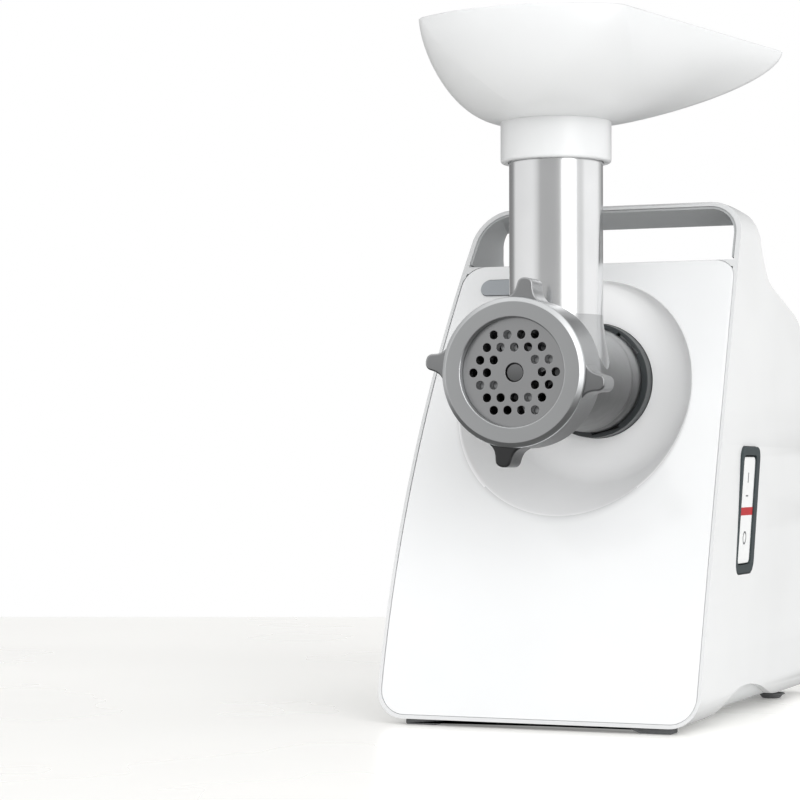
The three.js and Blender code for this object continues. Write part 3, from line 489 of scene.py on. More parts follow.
def make_floor(eye, ahead):
    """A pale table whose far edge lies straight across the view."""
    aside = Vector((ahead.y, -ahead.x, 0))
    near, wide = -2.5, 4.0
    corners = []
    for depth, side in ((near, -wide), (near, wide), (TABLE_FAR, wide), (TABLE_FAR, -wide)):
        spot = Vector((eye.x, eye.y, 0)) + ahead * depth + aside * side
        corners.append((spot.x / MM, spot.y / MM, -0.05))
    floor = new_object("table_top", corners, [(0, 1, 2, 3)], smooth=False)
    cream = (0.93, 0.925, 0.905)
    mat, shader = material("table_cream", cream, 0.28)
    shader.inputs["Emission Color"].default_value = (*cream, 1)
    shader.inputs["Emission Strength"].default_value = 0.17
    vary_roughness(mat, shader, surface_noise(mat, 5), 0.24, 0.32)
    dress(floor, mat)
    floor.visible_glossy = False


def make_world():
    """White behind everything. What lights the object is a studio that changes round the compass.

    Each band is a compass angle and a brightness. The angle is 0 in front of the object and grows
    towards +X. The studio is dark below the horizon, and reflections see that too.
    """
    bands = (
        (-180, 0.25), (-126, 0.25), (-112, 0.35), (-100, 0.88), (-40, 0.95), (-30, 0.8), (-20, 0.5),
        (14, 0.5), (30, 0.55), (38, 2.7), (64, 2.7), (70, 0.8), (84, 0.8), (94, 1.1), (138, 1.1),
        (160, 0.55), (172, 0.3), (180, 0.3),
    )
    overhead, underfoot, brightest = 1.25, 0.16, 3.0
    world = bpy.data.worlds.new("studio")
    bpy.context.scene.world = world
    world.use_nodes = True
    nodes, links = world.node_tree.nodes, world.node_tree.links
    nodes.clear()

    def grey(level):
        return (level / brightest, level / brightest, level / brightest, 1)

    def fade(colour, level, low, high):
        """Fades a colour into an even grey as the direction's Z goes from low to high."""
        height = nodes.new("ShaderNodeMapRange")
        height.interpolation_type = "SMOOTHSTEP"
        height.inputs["From Min"].default_value = low
        height.inputs["From Max"].default_value = high
        links.new(split.outputs["Z"], height.inputs["Value"])
        blend = nodes.new("ShaderNodeMix")
        blend.data_type = "RGBA"
        blend.inputs[7].default_value = grey(level)
        links.new(height.outputs["Result"], blend.inputs[0])
        links.new(colour, blend.inputs[6])
        return blend.outputs[2]

    coords = nodes.new("ShaderNodeTexCoord")
    split = nodes.new("ShaderNodeSeparateXYZ")
    links.new(coords.outputs["Generated"], split.inputs["Vector"])
    ahead_of = nodes.new("ShaderNodeMath")
    ahead_of.operation = "MULTIPLY"
    ahead_of.inputs[1].default_value = -1
    links.new(split.outputs["Y"], ahead_of.inputs[0])
    compass = nodes.new("ShaderNodeMath")
    compass.operation = "ARCTAN2"
    links.new(split.outputs["X"], compass.inputs[0])
    links.new(ahead_of.outputs["Value"], compass.inputs[1])
    spread = nodes.new("ShaderNodeMapRange")
    spread.inputs["From Min"].default_value = -math.pi
    spread.inputs["From Max"].default_value = math.pi
    links.new(compass.outputs["Value"], spread.inputs["Value"])
    ramp = nodes.new("ShaderNodeValToRGB")
    ramp.color_ramp.interpolation = "EASE"
    for i, (angle, level) in enumerate(bands):
        spot = (angle + 180) / 360
        stops = ramp.color_ramp.elements
        stop = stops[0] if i == 0 else stops.new(spot) if i < len(bands) - 1 else stops[-1]
        stop.position = spot
        stop.color = grey(level)
    links.new(spread.outputs["Result"], ramp.inputs["Fac"])
    topped = fade(ramp.outputs["Color"], overhead, 0.5, 0.95)
    lowered = fade(topped, underfoot, -0.06, -0.4)
    around = nodes.new("ShaderNodeBackground")
    around.inputs["Strength"].default_value = brightest
    links.new(lowered, around.inputs["Color"])
    seen = nodes.new("ShaderNodeBackground")
    seen.inputs["Color"].default_value = (1, 1, 1, 1)
    path = nodes.new("ShaderNodeLightPath")
    mix = nodes.new("ShaderNodeMixShader")
    links.new(path.outputs["Is Camera Ray"], mix.inputs["Fac"])
    links.new(around.outputs["Background"], mix.inputs[1])
    links.new(seen.outputs["Background"], mix.inputs[2])
    out = nodes.new("ShaderNodeOutputWorld")
    links.new(mix.outputs["Shader"], out.inputs["Surface"])
    bpy.context.scene.view_settings.view_transform = "Standard"


def make_fill():
    """A broad, soft light from the front that lights the recess without showing in the metal."""
    data = bpy.data.lights.new("front_fill", "SUN")
    data.energy = FILL_POWER
    data.angle = FILL_ANGLE
    lamp = bpy.data.objects.new("front_fill", data)
    lamp.rotation_mode = "QUATERNION"
    lamp.rotation_quaternion = Vector((-0.4, 1.0, -0.35)).to_track_quat("-Z", "Y")
    lamp.visible_glossy = False
    bpy.context.scene.collection.objects.link(lamp)


eye, ahead = make_camera()
make_floor(eye, ahead)
make_world()
make_fill()

# ---------------------------------------------------------------- casing outlines
def hoop(inset, top=HANDLE_TOP, top_corner=TOP_CORNER, bottom=CASING_BOTTOM, steps=10):
    """The casing seen from the front: a loop with round corners, inset by a wall."""
    top_r, low_r = max(top_corner - inset, 4), LOW_CORNER - inset
    z0, z1 = bottom + inset, top - inset

    def side(z):
        return half_width(z) - inset

    low_z, high_z = z0 + low_r, z1 - top_r
    right = arc(side(low_z) - low_r, low_z, low_r, -90, 0, steps)
    right += [(side(z), z) for z in (low_z + (high_z - low_z) * i / 12 for i in range(1, 12))]
    right += arc(side(high_z) - top_r, high_z, top_r, 0, 90, steps)
    return right + [(-x, z) for x, z in reversed(right)]


def bezier(points, steps):
    """Points along a Bezier curve, without its first point."""
    out = []
    for i in range(1, steps + 1):
        t = i / steps
        line = [Vector(p) for p in points]
        while len(line) > 1:
            line = [a.lerp(b, t) for a, b in zip(line, line[1:])]
        out.append(tuple(line[0]))
    return out


def front_profile(top, bottom, offset, steps=16):
    heights = [top + (bottom - top) * i / steps for i in range(steps + 1)]
    return [(front_y(z) + offset, z) for z in heights]


def side_outline():
    """The casing seen from the side, with the finger arch in its lower edge."""
    front = (-ARCH_REACH, CASING_BOTTOM)
    line = [(front_y(CASING_BOTTOM), CASING_BOTTOM), front]
    line += bezier([front, (-56, 8), (-48, ARCH_TOP), (-21, ARCH_TOP)], 12)
    line += bezier([(-21, ARCH_TOP), (15, ARCH_TOP), (30, SILL), (ARCH_REACH, SILL)], 12)
    line += [(150, SILL), (150, 180), (127, 184)]
    line += bezier([(127, 184), (119, 199), (100, 203)], 8)
    line += [(62, 213)]
    line += bezier([(62, 213), (49, 216.5), (45, 233)], 8)
    line += bezier([(45, 233), (43.5, 241), (41, 248.2)], 4)
    line += [(front_y(HANDLE_TOP) + 2, HANDLE_TOP)]
    return line + front_profile(HANDLE_TOP - 1.2, CASING_BOTTOM + 8, 0)


def handle_gap(raised, drop):
    """The opening under the handle from the side, raised at its lower edge, dropped at its upper."""
    return [
        (-60, PANEL_TOP + raised), (front_y(PANEL_TOP), PANEL_TOP + raised), (60, 213.5 + raised),
        (76, 209.6 + raised), (76, 236.8 - drop), (-60, 269.9 - drop),
    ]


def cavity_outline(inset):
    """The hollow of the casing from the side."""
    return [
        (-130, -5), (150, -5), (150, 178 - inset), (125, 184 - inset), (112, 196 - inset),
        (100, 202.5 - inset), (62, 212.5 - inset), (front_y(PANEL_TOP) + 6, PANEL_TOP - 1 - inset),
        (front_y(PANEL_TOP) - 4, PANEL_TOP - 1 - inset), (-130, 150),
    ]


def plan(name, inset):
    """A plan outline with round rear corners, leaned forward with the rear wall."""
    half, back, corner = HALF_WIDTH + 0.6 - inset, CASING_BACK + 0.14 - inset, 24 - inset
    line = [(-half, -150), (half, -150)]
    line += arc(half - corner, back - corner, corner, 0, 90, 12)
    line += arc(corner - half, back - corner, corner, 90, 180, 12)
    solid = prism(name, line, "Z", -20, 280)
    for vert in solid.data.vertices:
        vert.co.y -= BACK_SLOPE * (vert.co.z - CASING_BOTTOM * MM)
    return solid


def panel_outline(inset):
    return hoop(inset, PANEL_TOP + inset, PANEL_CORNER, PANEL_BOTTOM - inset)


def panel_band(near, far):
    """A strip along the front face from the side, between two depths."""
    low, high = PANEL_BOTTOM - 2, PANEL_TOP + 7
    return front_profile(low, high, near) + front_profile(high, low, far)


def window_cutter(inset):
    """The opening in the casing's rear wall, which the rear cover fills."""
    half = WINDOW_HALF - inset
    line = rounded(-half, half, WINDOW_LOW + inset, WINDOW_HIGH - inset, WINDOW_CORNER - inset)
    return prism("window", line, "Y", 100, 160)


def button_outline(grow, corner, steps=8):
    return rounded(BUTTON_LEFT - grow, BUTTON_RIGHT + grow, BUTTON_LOW - grow, BUTTON_HIGH + grow,
                   corner, steps)


def across(name, outline):
    """A side outline pushed right through the casing."""
    return prism(name, outline, "X", -90, 90)


def meet(first, *others):
    for other in others:
        combine(first, other, "INTERSECT")
    return first


def cut(first, *others):
    for other in others:
        combine(first, other)
    return first


def at_switch(obj):
    """Moves a piece drawn upright about the origin to the switch, with its sides leaned back."""
    lean = Matrix.Identity(4)
    lean[1][2] = math.tan(SWITCH_LEAN)
    obj.data.transform(Matrix.Translation(SWITCH_PLACE * MM) @ lean)
    return obj


def switch_plate(name, inset_front, inset_back, inset_ends, corner, low, high, steps=8):
    """A rounded plate drawn in the switch's own frame, between two depths along X."""
    half, tall = SWITCH_WIDTH / 2, SWITCH_HEIGHT / 2 - inset_ends
    line = rounded(inset_front - half, half - inset_back, -tall, tall, corner, steps)
    return prism(name, line, "X", low, high)


# ---------------------------------------------------------------- casing pieces
def body_shell():
    shell = meet(
        prism("body_shell_skin", hoop(0), "Y", -120, 150),
        across("side", side_outline()),
        plan("plan", 0),
    )
    bevel(shell, 1.5, 4, 40)
    inner = meet(
        prism("inner", hoop(WALL, steps=6), "Y", -140, 160),
        across("inner_side", cavity_outline(WALL)),
        plan("inner_plan", WALL),
    )
    grip = meet(
        prism("grip", hoop(RIBBON), "Y", -140, 150),
        across("grip_side", handle_gap(0, 0)),
    )
    seat = meet(
        prism("seat", panel_outline(PANEL_INSET - 0.2), "Y", -140, 60),
        across("seat_side", panel_band(-2, PANEL_THICK + 0.7)),
    )
    underside = box("underside", -60, 60, -94, 128, -5, 12)
    hole = at_switch(switch_plate("hole", -FIT_GAP, -FIT_GAP, -FIT_GAP, 6, 60, 90))
    cut(shell, inner, grip, seat, underside, window_cutter(0), hole)
    place(shade(shell), "casing", CASING, "casing_white", "body_shell")

    def on_front_edge(centre, normal):
        return normal.y < -0.45 and abs(centre.y - front_y(centre.z)) < 2.0

    second_finish(shell, EDGE_GREY, on_front_edge)


def handle_liner():
    rear_edge = [(38.8, 251), (41, 240), (43, 230), (48, 218), (49, 216), (-3, 224)]
    liner = meet(
        prism("handle_liner_skin", hoop(RIBBON + LINER_GAP, steps=12), "Y", -140, 150),
        across("outer_side", handle_gap(1.5, FIT_GAP)),
        across("reach", rear_edge + front_profile(226, 252, 0.6, 6)),
    )
    inner = meet(
        prism("inner", hoop(RIBBON + LINER_GAP + LINER, steps=12), "Y", -140, 150),
        across("inner_side", handle_gap(-9, FIT_GAP + LINER)),
    )
    cut(liner, inner)
    return place(shade(liner), "casing", LINER_GREY, "handle_grey", "handle_liner")


def ray_out(angle, outline, centre):
    """Distance from the centre to a closed outline along a direction."""
    d = Vector((math.cos(angle), math.sin(angle)))
    best = 0.0
    for i, point in enumerate(outline):
        a, b = Vector(point) - centre, Vector(outline[(i + 1) % len(outline)]) - centre
        e = b - a
        denom = d.x * e.y - d.y * e.x
        if abs(denom) < 1e-9:
            continue
        t = (a.x * e.y - a.y * e.x) / denom
        s = (a.x * d.y - a.y * d.x) / denom
        if t > 0 and -1e-6 <= s <= 1 + 1e-6:
            best = max(best, t)
    return best


def recess_rim(angle):
    """Where the recess wall meets the panel, as a radius from the head's axis."""
    low, high = RECESS_RADIUS, RECESS_RADIUS + 40
    for _ in range(40):
        r = (low + high) / 2
        wall = RECESS_FLOOR - (r - RECESS_RADIUS) / RECESS_DRAFT
        if wall > front_y(AXIS_Z + r * math.sin(angle)) + 0.2:
            low = r
        else:
            high = r
    return low


def panel_angles(outline):
    """Directions from the head's axis: every outline corner, and no gap over 2.5 degrees."""
    fixed = sorted(math.atan2(z - AXIS_Z, x) % (2 * math.pi) for x, z in outline)
    out = []
    for i, a in enumerate(fixed):
        b = fixed[(i + 1) % len(fixed)] + (2 * math.pi if i + 1 == len(fixed) else 0)
        count = max(1, math.ceil((b - a) / math.radians(2.5)))
        out += [a + (b - a) * k / count for k in range(count) if b - a > 1e-4 or k]
    return out


def panel_ring_points(angle, edge):
    """One section of the panel, from the drive opening out to its edge, as (radius, y)."""
    def face(r):
        return front_y(AXIS_Z + r * math.sin(angle)) + 0.2

    rim = recess_rim(angle)
    corner = Vector((RECESS_RADIUS, RECESS_FLOOR))
    top = Vector((rim, face(rim)))
    wall = (top - corner).length
    low_round = min(9.0, wall * 0.45)
    rim_round = min(0.9 + 3.0 * max(0.0, -math.sin(angle)), wall * 0.4)
    up = (top - corner).normalized()
    section = [(SOCKET_RADIUS + FIT_GAP, RECESS_FLOOR), (38, RECESS_FLOOR)]
    inside = Vector((RECESS_RADIUS - low_round, RECESS_FLOOR))
    section += bend(inside, corner, corner + up * low_round, 6)
    beyond = rim + rim_round
    section += bend(top - up * rim_round, top, Vector((beyond, face(beyond))), 6)
    last = edge - 0.7
    section += [(r, face(r)) for r in (beyond + (last - beyond) * k / 10 for k in range(1, 11))]
    rounding = ((0.3, 0.1), (0.08, 0.35), (0, 0.7), (0, 1.0))
    return section + [(edge - inward, face(edge) + back) for inward, back in rounding]


def front_panel():
    outline = panel_outline(PANEL_INSET)
    centre = Vector((0, AXIS_Z))
    columns = []
    for angle in panel_angles(outline):
        section = panel_ring_points(angle, ray_out(angle, outline, centre))
        columns.append([(r * math.cos(angle), y, AXIS_Z + r * math.sin(angle)) for r, y in section])
    panel = skin("front_panel_skin", columns, closed_loop=True, caps=False)
    open_grid(panel, len(columns), len(columns[0]))
    thick = panel.modifiers.new("thickness", "SOLIDIFY")
    thick.thickness = 1.5 * MM
    thick.offset = -1
    bake(panel)
    cut(panel, prism("button_hole", button_outline(FIT_GAP, 4.2), "Y", -60, 30))
    place(shade(panel, 40), "casing", PANEL, "panel_white", "front_panel")

    def in_recess(centre, normal):
        dx, dz = centre.x, centre.z - AXIS_Z
        return math.hypot(dx, dz) < recess_rim(math.atan2(dz, dx)) + 0.3

    # Painted light: the recess takes the paler copy of the panel's white.
    second_finish(panel, RECESS, in_recess)


def open_grid(obj, columns, count):
    """Rebuilds a looped grid without the faces that join each column's ends, facing the front."""
    faces = []
    for i in range(columns):
        a, b = i * count, ((i + 1) % columns) * count
        faces += [(a + k, a + k + 1, b + k + 1, b + k) for k in range(count - 1)]
    verts = [tuple(v.co) for v in obj.data.vertices]
    mesh = bpy.data.meshes.new(obj.name)
    mesh.from_pydata(verts, [], faces)
    if sum(p.normal.y * p.area for p in mesh.polygons) > 0:
        mesh.flip_normals()
    obj.data = mesh


def rear_cover():
    cover = cut(plan("rear_cover_skin", 0), plan("inside", WALL))
    meet(cover, window_cutter(FIT_GAP), box("reach", -60, 60, 100, 150, 10, 190))
    pitch, opening = 9, 3.4
    for row in range(8):
        z = 96 + row * pitch
        cut(cover, prism("slot", rounded(-34, 34, z, z + opening, 1.65, 5), "Y", 100, 160))
    inlet = [(0, 100), (6.4, 100), (6.4, 160), (0, 160)]
    cut(cover, turned("inlet", inlet, 32, 0, GLAND_Z, closed=False))
    bevel(cover, 0.35, 2, 50)
    return place(shade(cover), "casing", CASING, "casing_white", "rear_cover")


def base_plate():
    def region(name, inset, low, high):
        return meet(prism(name, hoop(inset), "Y", -100, 150), plan("plan", inset),
                    box("slab", -90, 90, low, 150, -5, high))

    plate = region("base_plate_skin", WALL + FIT_GAP, -89, 20)
    combine(plate, box("pan", -59.6, 59.6, -93.6, 124, CASING_BOTTOM, 9), "UNION")
    inside = meet(region("inside", WALL + 2.5, -86.5, 30), box("above", -90, 90, -86.5, 150, 8, 40))
    cut(plate, inside)
    for i in range(6):
        cut(plate, prism("vent", rounded(-26, 26, -46 + i * 9, -42 + i * 9, 1.9, 5), "Z", -5, 12))
    for x in (-50, 50):
        for y in (-78, 112):
            cut(plate, upright("screw_hole", [(0, -5), (2.2, -5), (2.2, 12), (0, 12)], x, y, 24))
    bevel(plate, 0.5, 2, 50)
    return place(shade(plate), "casing", BASE_GREY, "base_grey", "base_plate")


def feet():
    strip = [(-64.5, 0), (-50, 0), (-45, 2), (45, 2), (50, 0), (64.5, 0), (65, 0.5), (65, 2.7),
             (-65, 2.7), (-65, 0.5)]
    front = bevel(prism("front_foot_skin", strip, "Y", -100.5, -91), 0.4, 2, 20)
    place(shade(front), "casing", RUBBER, "foot_rubber", "front_foot")
    profile = softened([(0, 0), (4.6, 0), (6.2, 2), (7.2, 2.1), (7.2, 2.7), (0, 2.7)], 0.5, 3)
    for x, node_name in ((-62, "rear_foot_left"), (62, "rear_foot_right")):
        foot = upright(node_name + "_skin", profile, x, 97.5, 48)
        place(shade(foot), "casing", RUBBER, "foot_rubber", node_name)


# ---------------------------------------------------------------- switch and release
def switch():
    """The surround with its well, and the rocker. The front rim of the well is the narrow one."""
    front_rim, rear_rim = 2.3, 6.9
    bezel = switch_plate("switch_bezel_skin", 0, 0, 0, 6, 68, 79, 10)
    bevel(bezel, 0.7, 3, 50)
    cut(bezel, switch_plate("well", front_rim - 0.5, rear_rim - 0.5, 4.2, 3.2, 60, 90, 8))
    bevel(bezel, 0.25, 2, 60)
    place(shade(at_switch(bezel)), "casing", BEZEL, "dark_plastic", "switch_bezel")

    cap = switch_plate("power_rocker_skin", front_rim, rear_rim, 4.9, 2.8, 73.4, 78.2, 8)
    bevel(cap, 0.5, 3, 50)
    place(shade(at_switch(cap)), "rocker", ROCKER, "rocker_white", "power_rocker")
    switch_marks((front_rim - rear_rim) / 2)


def switch_marks(middle):
    """The marks on the rocker, a hair above its face."""
    marks = (
        ("mark_on", rounded(middle - 0.6, middle + 0.6, 13.0, 18.0, 0.4, 3), MARK),
        ("mark_tick", rounded(middle - 2.6, middle + 1.8, 6.4, 7.1, 0.3, 3), MARK),
        ("stripe", rounded(middle - 11.9, middle + 11.9, -2.6, 1.2, 0.3, 3), RED),
        ("mark_off", circle(middle, -13.4, 3.2, 36), MARK),
    )
    for name, line, mat in marks:
        mark = prism(name, line, "X", 78.0, 78.26)
        if name == "mark_off":
            cut(mark, prism("centre", circle(middle, -13.4, 2.3, 36), "X", 77, 79))
        place(at_switch(mark), "rocker", mat, "rocker_white")


def release_button():
    pill = meet(
        prism("release_button_skin", button_outline(0, 3.95, 10), "Y", -21, -4),
        prism("face", front_profile(204, 219, -0.9, 4) + [(0, 219), (0, 204)], "X", -90, 0),
    )
    bevel(pill, 0.6, 3, 50)
    place(shade(pill), "release", BUTTON_GREY, "button_grey", "release_button")


def drive_socket():
    profile = softened([
        (23.4, -14.8), (SOCKET_RADIUS, -14.8), (SOCKET_RADIUS, -4), (34, -4), (34, -1), (27, -1),
        (27, 5.7), (16, 5.7), (16, 1), (26.4, -3), (26.4, -11.6), (23.4, -11.6)], 0.6, 3)
    socket = turned("drive_socket_skin", profile, 128)
    for i in range(3):
        notch = box("notch", -7.25, 7.25, -16.5, -10.5, 10.3, 26.3)
        cut(socket, about_axis(notch, LUG_ANGLE + 120 * i))
    place(shade(socket), "casing", DARK, "dark_plastic", "drive_socket")


def cord_gland():
    back = CASING_BACK + 0.14 - BACK_SLOPE * (GLAND_Z - CASING_BOTTOM)
    profile = softened([
        (4, back - 9), (9, back - 9), (9, back - 3.9), (6, back - 3.9), (6, back + 1.1),
        (8.6, back + 1.1), (7.6, back + 3), (4, back + 3)], 0.5, 3)
    gland = turned("cord_gland_skin", profile, 48, 0, GLAND_Z)
    place(shade(gland), "casing", RUBBER, "foot_rubber", "cord_gland")


# ---------------------------------------------------------------- mincing head
def head_casting():
    profile = softened([
        (30.4, -129.9), (30.4, -112), (27.6, NUT_BACK), (BARREL_RADIUS, -102),
        (BARREL_RADIUS, -32), (24.9, -28),
        (FLANGE_RADIUS, -22), (FLANGE_RADIUS, -15.1), (23, -15.1), (23, -6), (17, -6), (17, -21),
        (21.6, -25), (21.6, -124.8), (27.05, -124.8), (27.05, -129.9)], 2.2, 6)
    barrel = turned("head_barrel", profile, 128)
    way_in = TUBE_BORE - 0.2
    bore = [(0, AXIS_Z), (way_in, AXIS_Z), (way_in, 210), (0, 210)]
    cut(barrel, upright("bore", bore, 0, TUBE_Y, 96))
    for i in range(3):
        lug = about_axis(box("lug", -6.6, 6.6, -11.2, -8.4, 15, 25.8), LUG_ANGLE + 120 * i)
        combine(barrel, bevel(lug, 0.5, 2), "UNION")
    place(shade(barrel), "head", CAST_METAL, "cast_aluminium", "head_casting")
    tube = place(shade(feed_tube(), 40), "head", TUBE_METAL, "cast_aluminium")
    second_finish(tube, SKIRT_METAL, lambda centre, normal: centre.z < SKIRT_TOP)


def feed_tube():
    """The upright tube, with the skirt that flares out over the barrel."""
    rings = []

    def ring(radius, height):
        rings.append([(x, y, height(x)) for x, y in circle(0, TUBE_Y, radius, 128)])

    def on_barrel(x, radius=BARREL_RADIUS):
        return AXIS_Z + math.sqrt(max(radius ** 2 - x * x, 0.0))

    ring(TUBE_BORE, lambda x: on_barrel(x, 22.0))
    ring(TUBE_BORE, lambda x: TUBE_TOP - 0.5)
    ring(TUBE_BORE + 0.4, lambda x: TUBE_TOP)
    ring(TUBE_RADIUS - 0.5, lambda x: TUBE_TOP)
    ring(TUBE_RADIUS, lambda x: TUBE_TOP - 0.5)
    ring(TUBE_RADIUS, lambda x: 240)
    for i in range(11):
        t = i / 10
        radius = TUBE_RADIUS + SKIRT_FLARE * t ** 2
        ring(radius, lambda x: SKIRT_TOP * (1 - t) + (on_barrel(x) - 0.2) * t)
    ring(TUBE_RADIUS + SKIRT_FLARE - 1.5, lambda x: on_barrel(x) - 2.5)
    return skin("feed_tube", rings, closed_loop=True, caps=False)


def ring_nut():
    profile = softened([
        (OUTLET_RADIUS, NUT_FRONT + 0.5), (OUTLET_RADIUS + 0.4, NUT_FRONT),
        (NUT_RADIUS - 2.2, NUT_FRONT), (NUT_RADIUS - 0.2, NUT_FRONT + 1.7),
        (NUT_RADIUS, NUT_FRONT + 2.3), (NUT_RADIUS, NUT_BACK - 1), (NUT_RADIUS - 1, NUT_BACK),
        (30.9, NUT_BACK), (30.9, NUT_FRONT + 3.6), (OUTLET_RADIUS, NUT_FRONT + 3.6)], 0.3, 3)
    nut = turned("ring_nut_skin", profile, 160)
    flank = bezier([(8.6, 33.4), (5.0, 34.8), (4.2, 37.5), (3.8, 40.4)], 8)
    flank += bezier([(3.8, 40.4), (3.4, 43.4), (0, 43.4)], 6)
    mirrored = [(-x, z) for x, z in reversed(flank[:-1])]
    outline = [(8.6, 32.4)] + flank + mirrored + [(-8.6, 32.4)]
    for i in range(4):
        wing = prism(f"ring_nut_wing_{i + 1}", outline, "Y", NUT_FRONT + 3, NUT_FRONT + 18)
        about_axis(bevel(wing, 1.0, 3, 40), WING_ANGLE + 90 * i)
        place(shade(wing, 40), "nut", SIDE_METAL, "cast_aluminium")
    place(shade(nut), "nut", NUT_METAL, "cast_aluminium", "ring_nut")

    def on_side(centre, normal):
        return centre.y > NUT_FRONT + 2.4 and normal.y > -0.3

    second_finish(nut, SIDE_METAL, on_side)


def perforated_plate():
    curve = bpy.data.curves.new("perforated_plate_skin", "CURVE")
    curve.dimensions = "2D"
    curve.fill_mode = "BOTH"

    def loop(x, z, r, sides):
        spline = curve.splines.new("POLY")
        spline.points.add(sides - 1)
        for point, (u, v) in zip(spline.points, circle(x, z, r, sides)):
            point.co = (u * MM, v * MM, 0, 1)
        spline.use_cyclic_u = True

    loop(0, 0, PLATE_RADIUS - 0.2, 96)
    loop(0, 0, 4.6, 32)
    pitch = 6.6
    for row in range(-3, 4):
        for column in range(-4, 5):
            x = (column + (0.5 if row % 2 else 0)) * pitch
            z = row * pitch * math.sin(math.pi / 3)
            if 7.5 < math.hypot(x, z) < OUTLET_RADIUS - 2.6:
                loop(x, z, 2.2, 20)
    curve.extrude = 2.3 * MM
    curve.bevel_depth = 0.2 * MM
    curve.bevel_resolution = 1
    holder = bpy.data.objects.new("perforated_plate_curve", curve)
    bpy.context.scene.collection.objects.link(holder)
    graph = bpy.context.evaluated_depsgraph_get()
    mesh = bpy.data.meshes.new_from_object(holder.evaluated_get(graph))
    bpy.data.objects.remove(holder)
    mesh.transform(Matrix.Translation((0, (NUT_FRONT + 6.4) * MM, AXIS_Z * MM))
                   @ Matrix.Rotation(math.radians(90), 4, "X"))
    plate = bpy.data.objects.new("perforated_plate_skin", mesh)
    bpy.context.scene.collection.objects.link(plate)
    place(shade(plate), "plate", STEEL, "steel", "perforated_plate")


# ---------------------------------------------------------------- filling tray
def tray_rim(inset, round_front, round_rear):
    """The rim from above: a bowed front edge, flaring straight sides and a straight rear edge."""
    front_half, front_edge = TRAY_FRONT_HALF - inset, TRAY_FRONT + inset
    rear_half, rear_edge = TRAY_REAR_HALF - inset, TRAY_REAR - inset

    def front(s):
        return (front_half * (2 * s - 1), front_edge - TRAY_BOW * (1 - (2 * s - 1) ** 2))

    def side(s):
        across = front_half + (rear_half - front_half) * s
        return (across, front_edge + (rear_edge - front_edge) * s)

    trim = round_front / (2 * front_half)
    low = round_front / TRAY_SIDE_LENGTH
    high = 1 - round_rear / TRAY_SIDE_LENGTH
    right = [front(0.5 + (0.5 - trim) * i / 12) for i in range(13)]
    right += bezier([front(1 - trim), (front_half, front_edge), side(low)], 10)
    right += [side(low + (high - low) * i / 14) for i in range(1, 15)]
    turn = rear_half - round_rear
    right += bezier([side(high), (rear_half, rear_edge), (turn, rear_edge)], 10)
    right += [(turn * (1 - i / 8), rear_edge) for i in range(1, 9)]
    return right + [(-x, y) for x, y in reversed(right[1:-1])]


def tray_rise(share, rim_y):
    """How far the wall has risen at a share of the way from the collar to the rim, from 0 to 1.

    At the front it stays low and then climbs steeply. At the rear it is one long slope.
    """
    t = min(max((rim_y - TRAY_FRONT) / (TRAY_REAR - TRAY_FRONT), 0), 1)
    along = t * t * (3 - 2 * t)
    front = 1 - max(1 - share ** 2, 0) ** 0.55
    rear = 1 - max(1 - share ** 1.2, 0) ** 0.62
    return front + (rear - front) * along


def tray_ring(inset, radius, share, z, climb=0.0):
    """One ring of the tray, at a share of the way from a circle round the tube to the rim.

    Its corners are rounder the nearer it is to the tube.
    """
    front_round = 3.5 + 46 * (1 - share) ** 0.6
    rear_round = 6 + 30 * (1 - share)
    points = []
    for x, y in tray_rim(inset, front_round, rear_round):
        angle = math.atan2(y - TUBE_Y, x)
        cx, cy = radius * math.cos(angle), TUBE_Y + radius * math.sin(angle)
        height = z + climb * tray_rise(share, y)
        points.append((cx + (x - cx) * share, cy + (y - cy) * share, height))
    return points


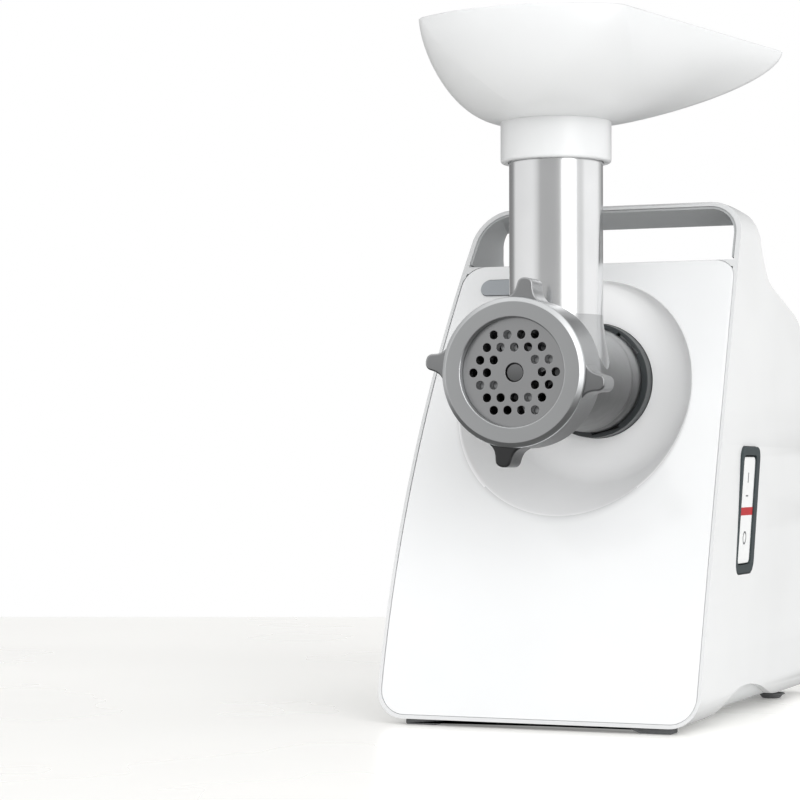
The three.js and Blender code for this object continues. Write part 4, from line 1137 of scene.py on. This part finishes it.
def filling_tray():
    climb = TRAY_RIM_Z - TRAY_FLOOR_Z - 0.6
    shares = [math.sin(math.pi / 2 * i / 26) for i in range(27)]
    bore = TUBE_RADIUS + 0.35
    rings = [
        tray_ring(0, COLLAR_RADIUS - 1.3, 0, COLLAR_BOTTOM),
        tray_ring(0, COLLAR_RADIUS - 0.6, 0, COLLAR_BOTTOM + 0.15),
        tray_ring(0, COLLAR_RADIUS - 0.15, 0, COLLAR_BOTTOM + 0.6),
        tray_ring(0, COLLAR_RADIUS, 0, COLLAR_BOTTOM + 1.3),
    ]
    rings += [tray_ring(0, COLLAR_RADIUS, s, TRAY_FLOOR_Z, climb) for s in shares]
    rings += [
        tray_ring(0.5, COLLAR_RADIUS, 1, TRAY_RIM_Z - 0.1),
        tray_ring(1.0, COLLAR_RADIUS, 1, TRAY_RIM_Z),
        tray_ring(1.6, COLLAR_RADIUS, 1, TRAY_RIM_Z - 0.1),
    ]
    floor = TRAY_FLOOR_Z + TRAY_WALL
    rings += [tray_ring(TRAY_WALL, 20, s, floor, climb - TRAY_WALL) for s in reversed(shares)]
    rings += [
        tray_ring(TRAY_WALL, 20, 0, TUBE_TOP + 0.3),
        tray_ring(TRAY_WALL, bore, 0, TUBE_TOP + 0.3),
        tray_ring(TRAY_WALL, bore, 0, COLLAR_BOTTOM + 0.4),
        tray_ring(TRAY_WALL, bore + 0.4, 0, COLLAR_BOTTOM),
    ]
    tray = skin("filling_tray_skin", rings, closed_loop=True, caps=False)
    place(shade(tray, 50), "tray", TRAY, "tray_white", "filling_tray")


# ---------------------------------------------------------------- pieces inside
def inner_finishes():
    """The enclosed CAD pieces keep their meshes and take their finishes."""
    finishes = {
        DARK: ("switch_body", "brush_holder_left", "brush_holder_right", "auger_drive_end"),
        NYLON: ("output_gear", "idler_gear_upper", "idler_gear_lower", "cooling_fan",
                "latch_bar"),
        STEEL: ("base_screw_1", "base_screw_2", "base_screw_3", "base_screw_4", "latch_spring",
                "output_shaft", "gearbox_front_plate", "gearbox_rear_plate", "idler_axle_upper",
                "idler_axle_lower", "motor_pinion", "motor_shaft", "motor_bearing_front",
                "motor_rear_bracket", "motor_bolt_left", "motor_bolt_right", "knife"),
        BRONZE: ("output_bush", "motor_bearing_rear"),
        LAMINATION: ("stator", "armature"),
        COPPER: ("field_coil_upper", "field_coil_lower", "commutator"),
        BOARD: ("circuit_board",),
        CAST_METAL: ("auger",),
    }
    for mat, names in finishes.items():
        for name in names:
            dress(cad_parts[name], mat)


body_shell()
handle_liner()
front_panel()
rear_cover()
base_plate()
feet()
switch()
release_button()
drive_socket()
cord_gland()
head_casting()
ring_nut()
perforated_plate()
filling_tray()
inner_finishes()
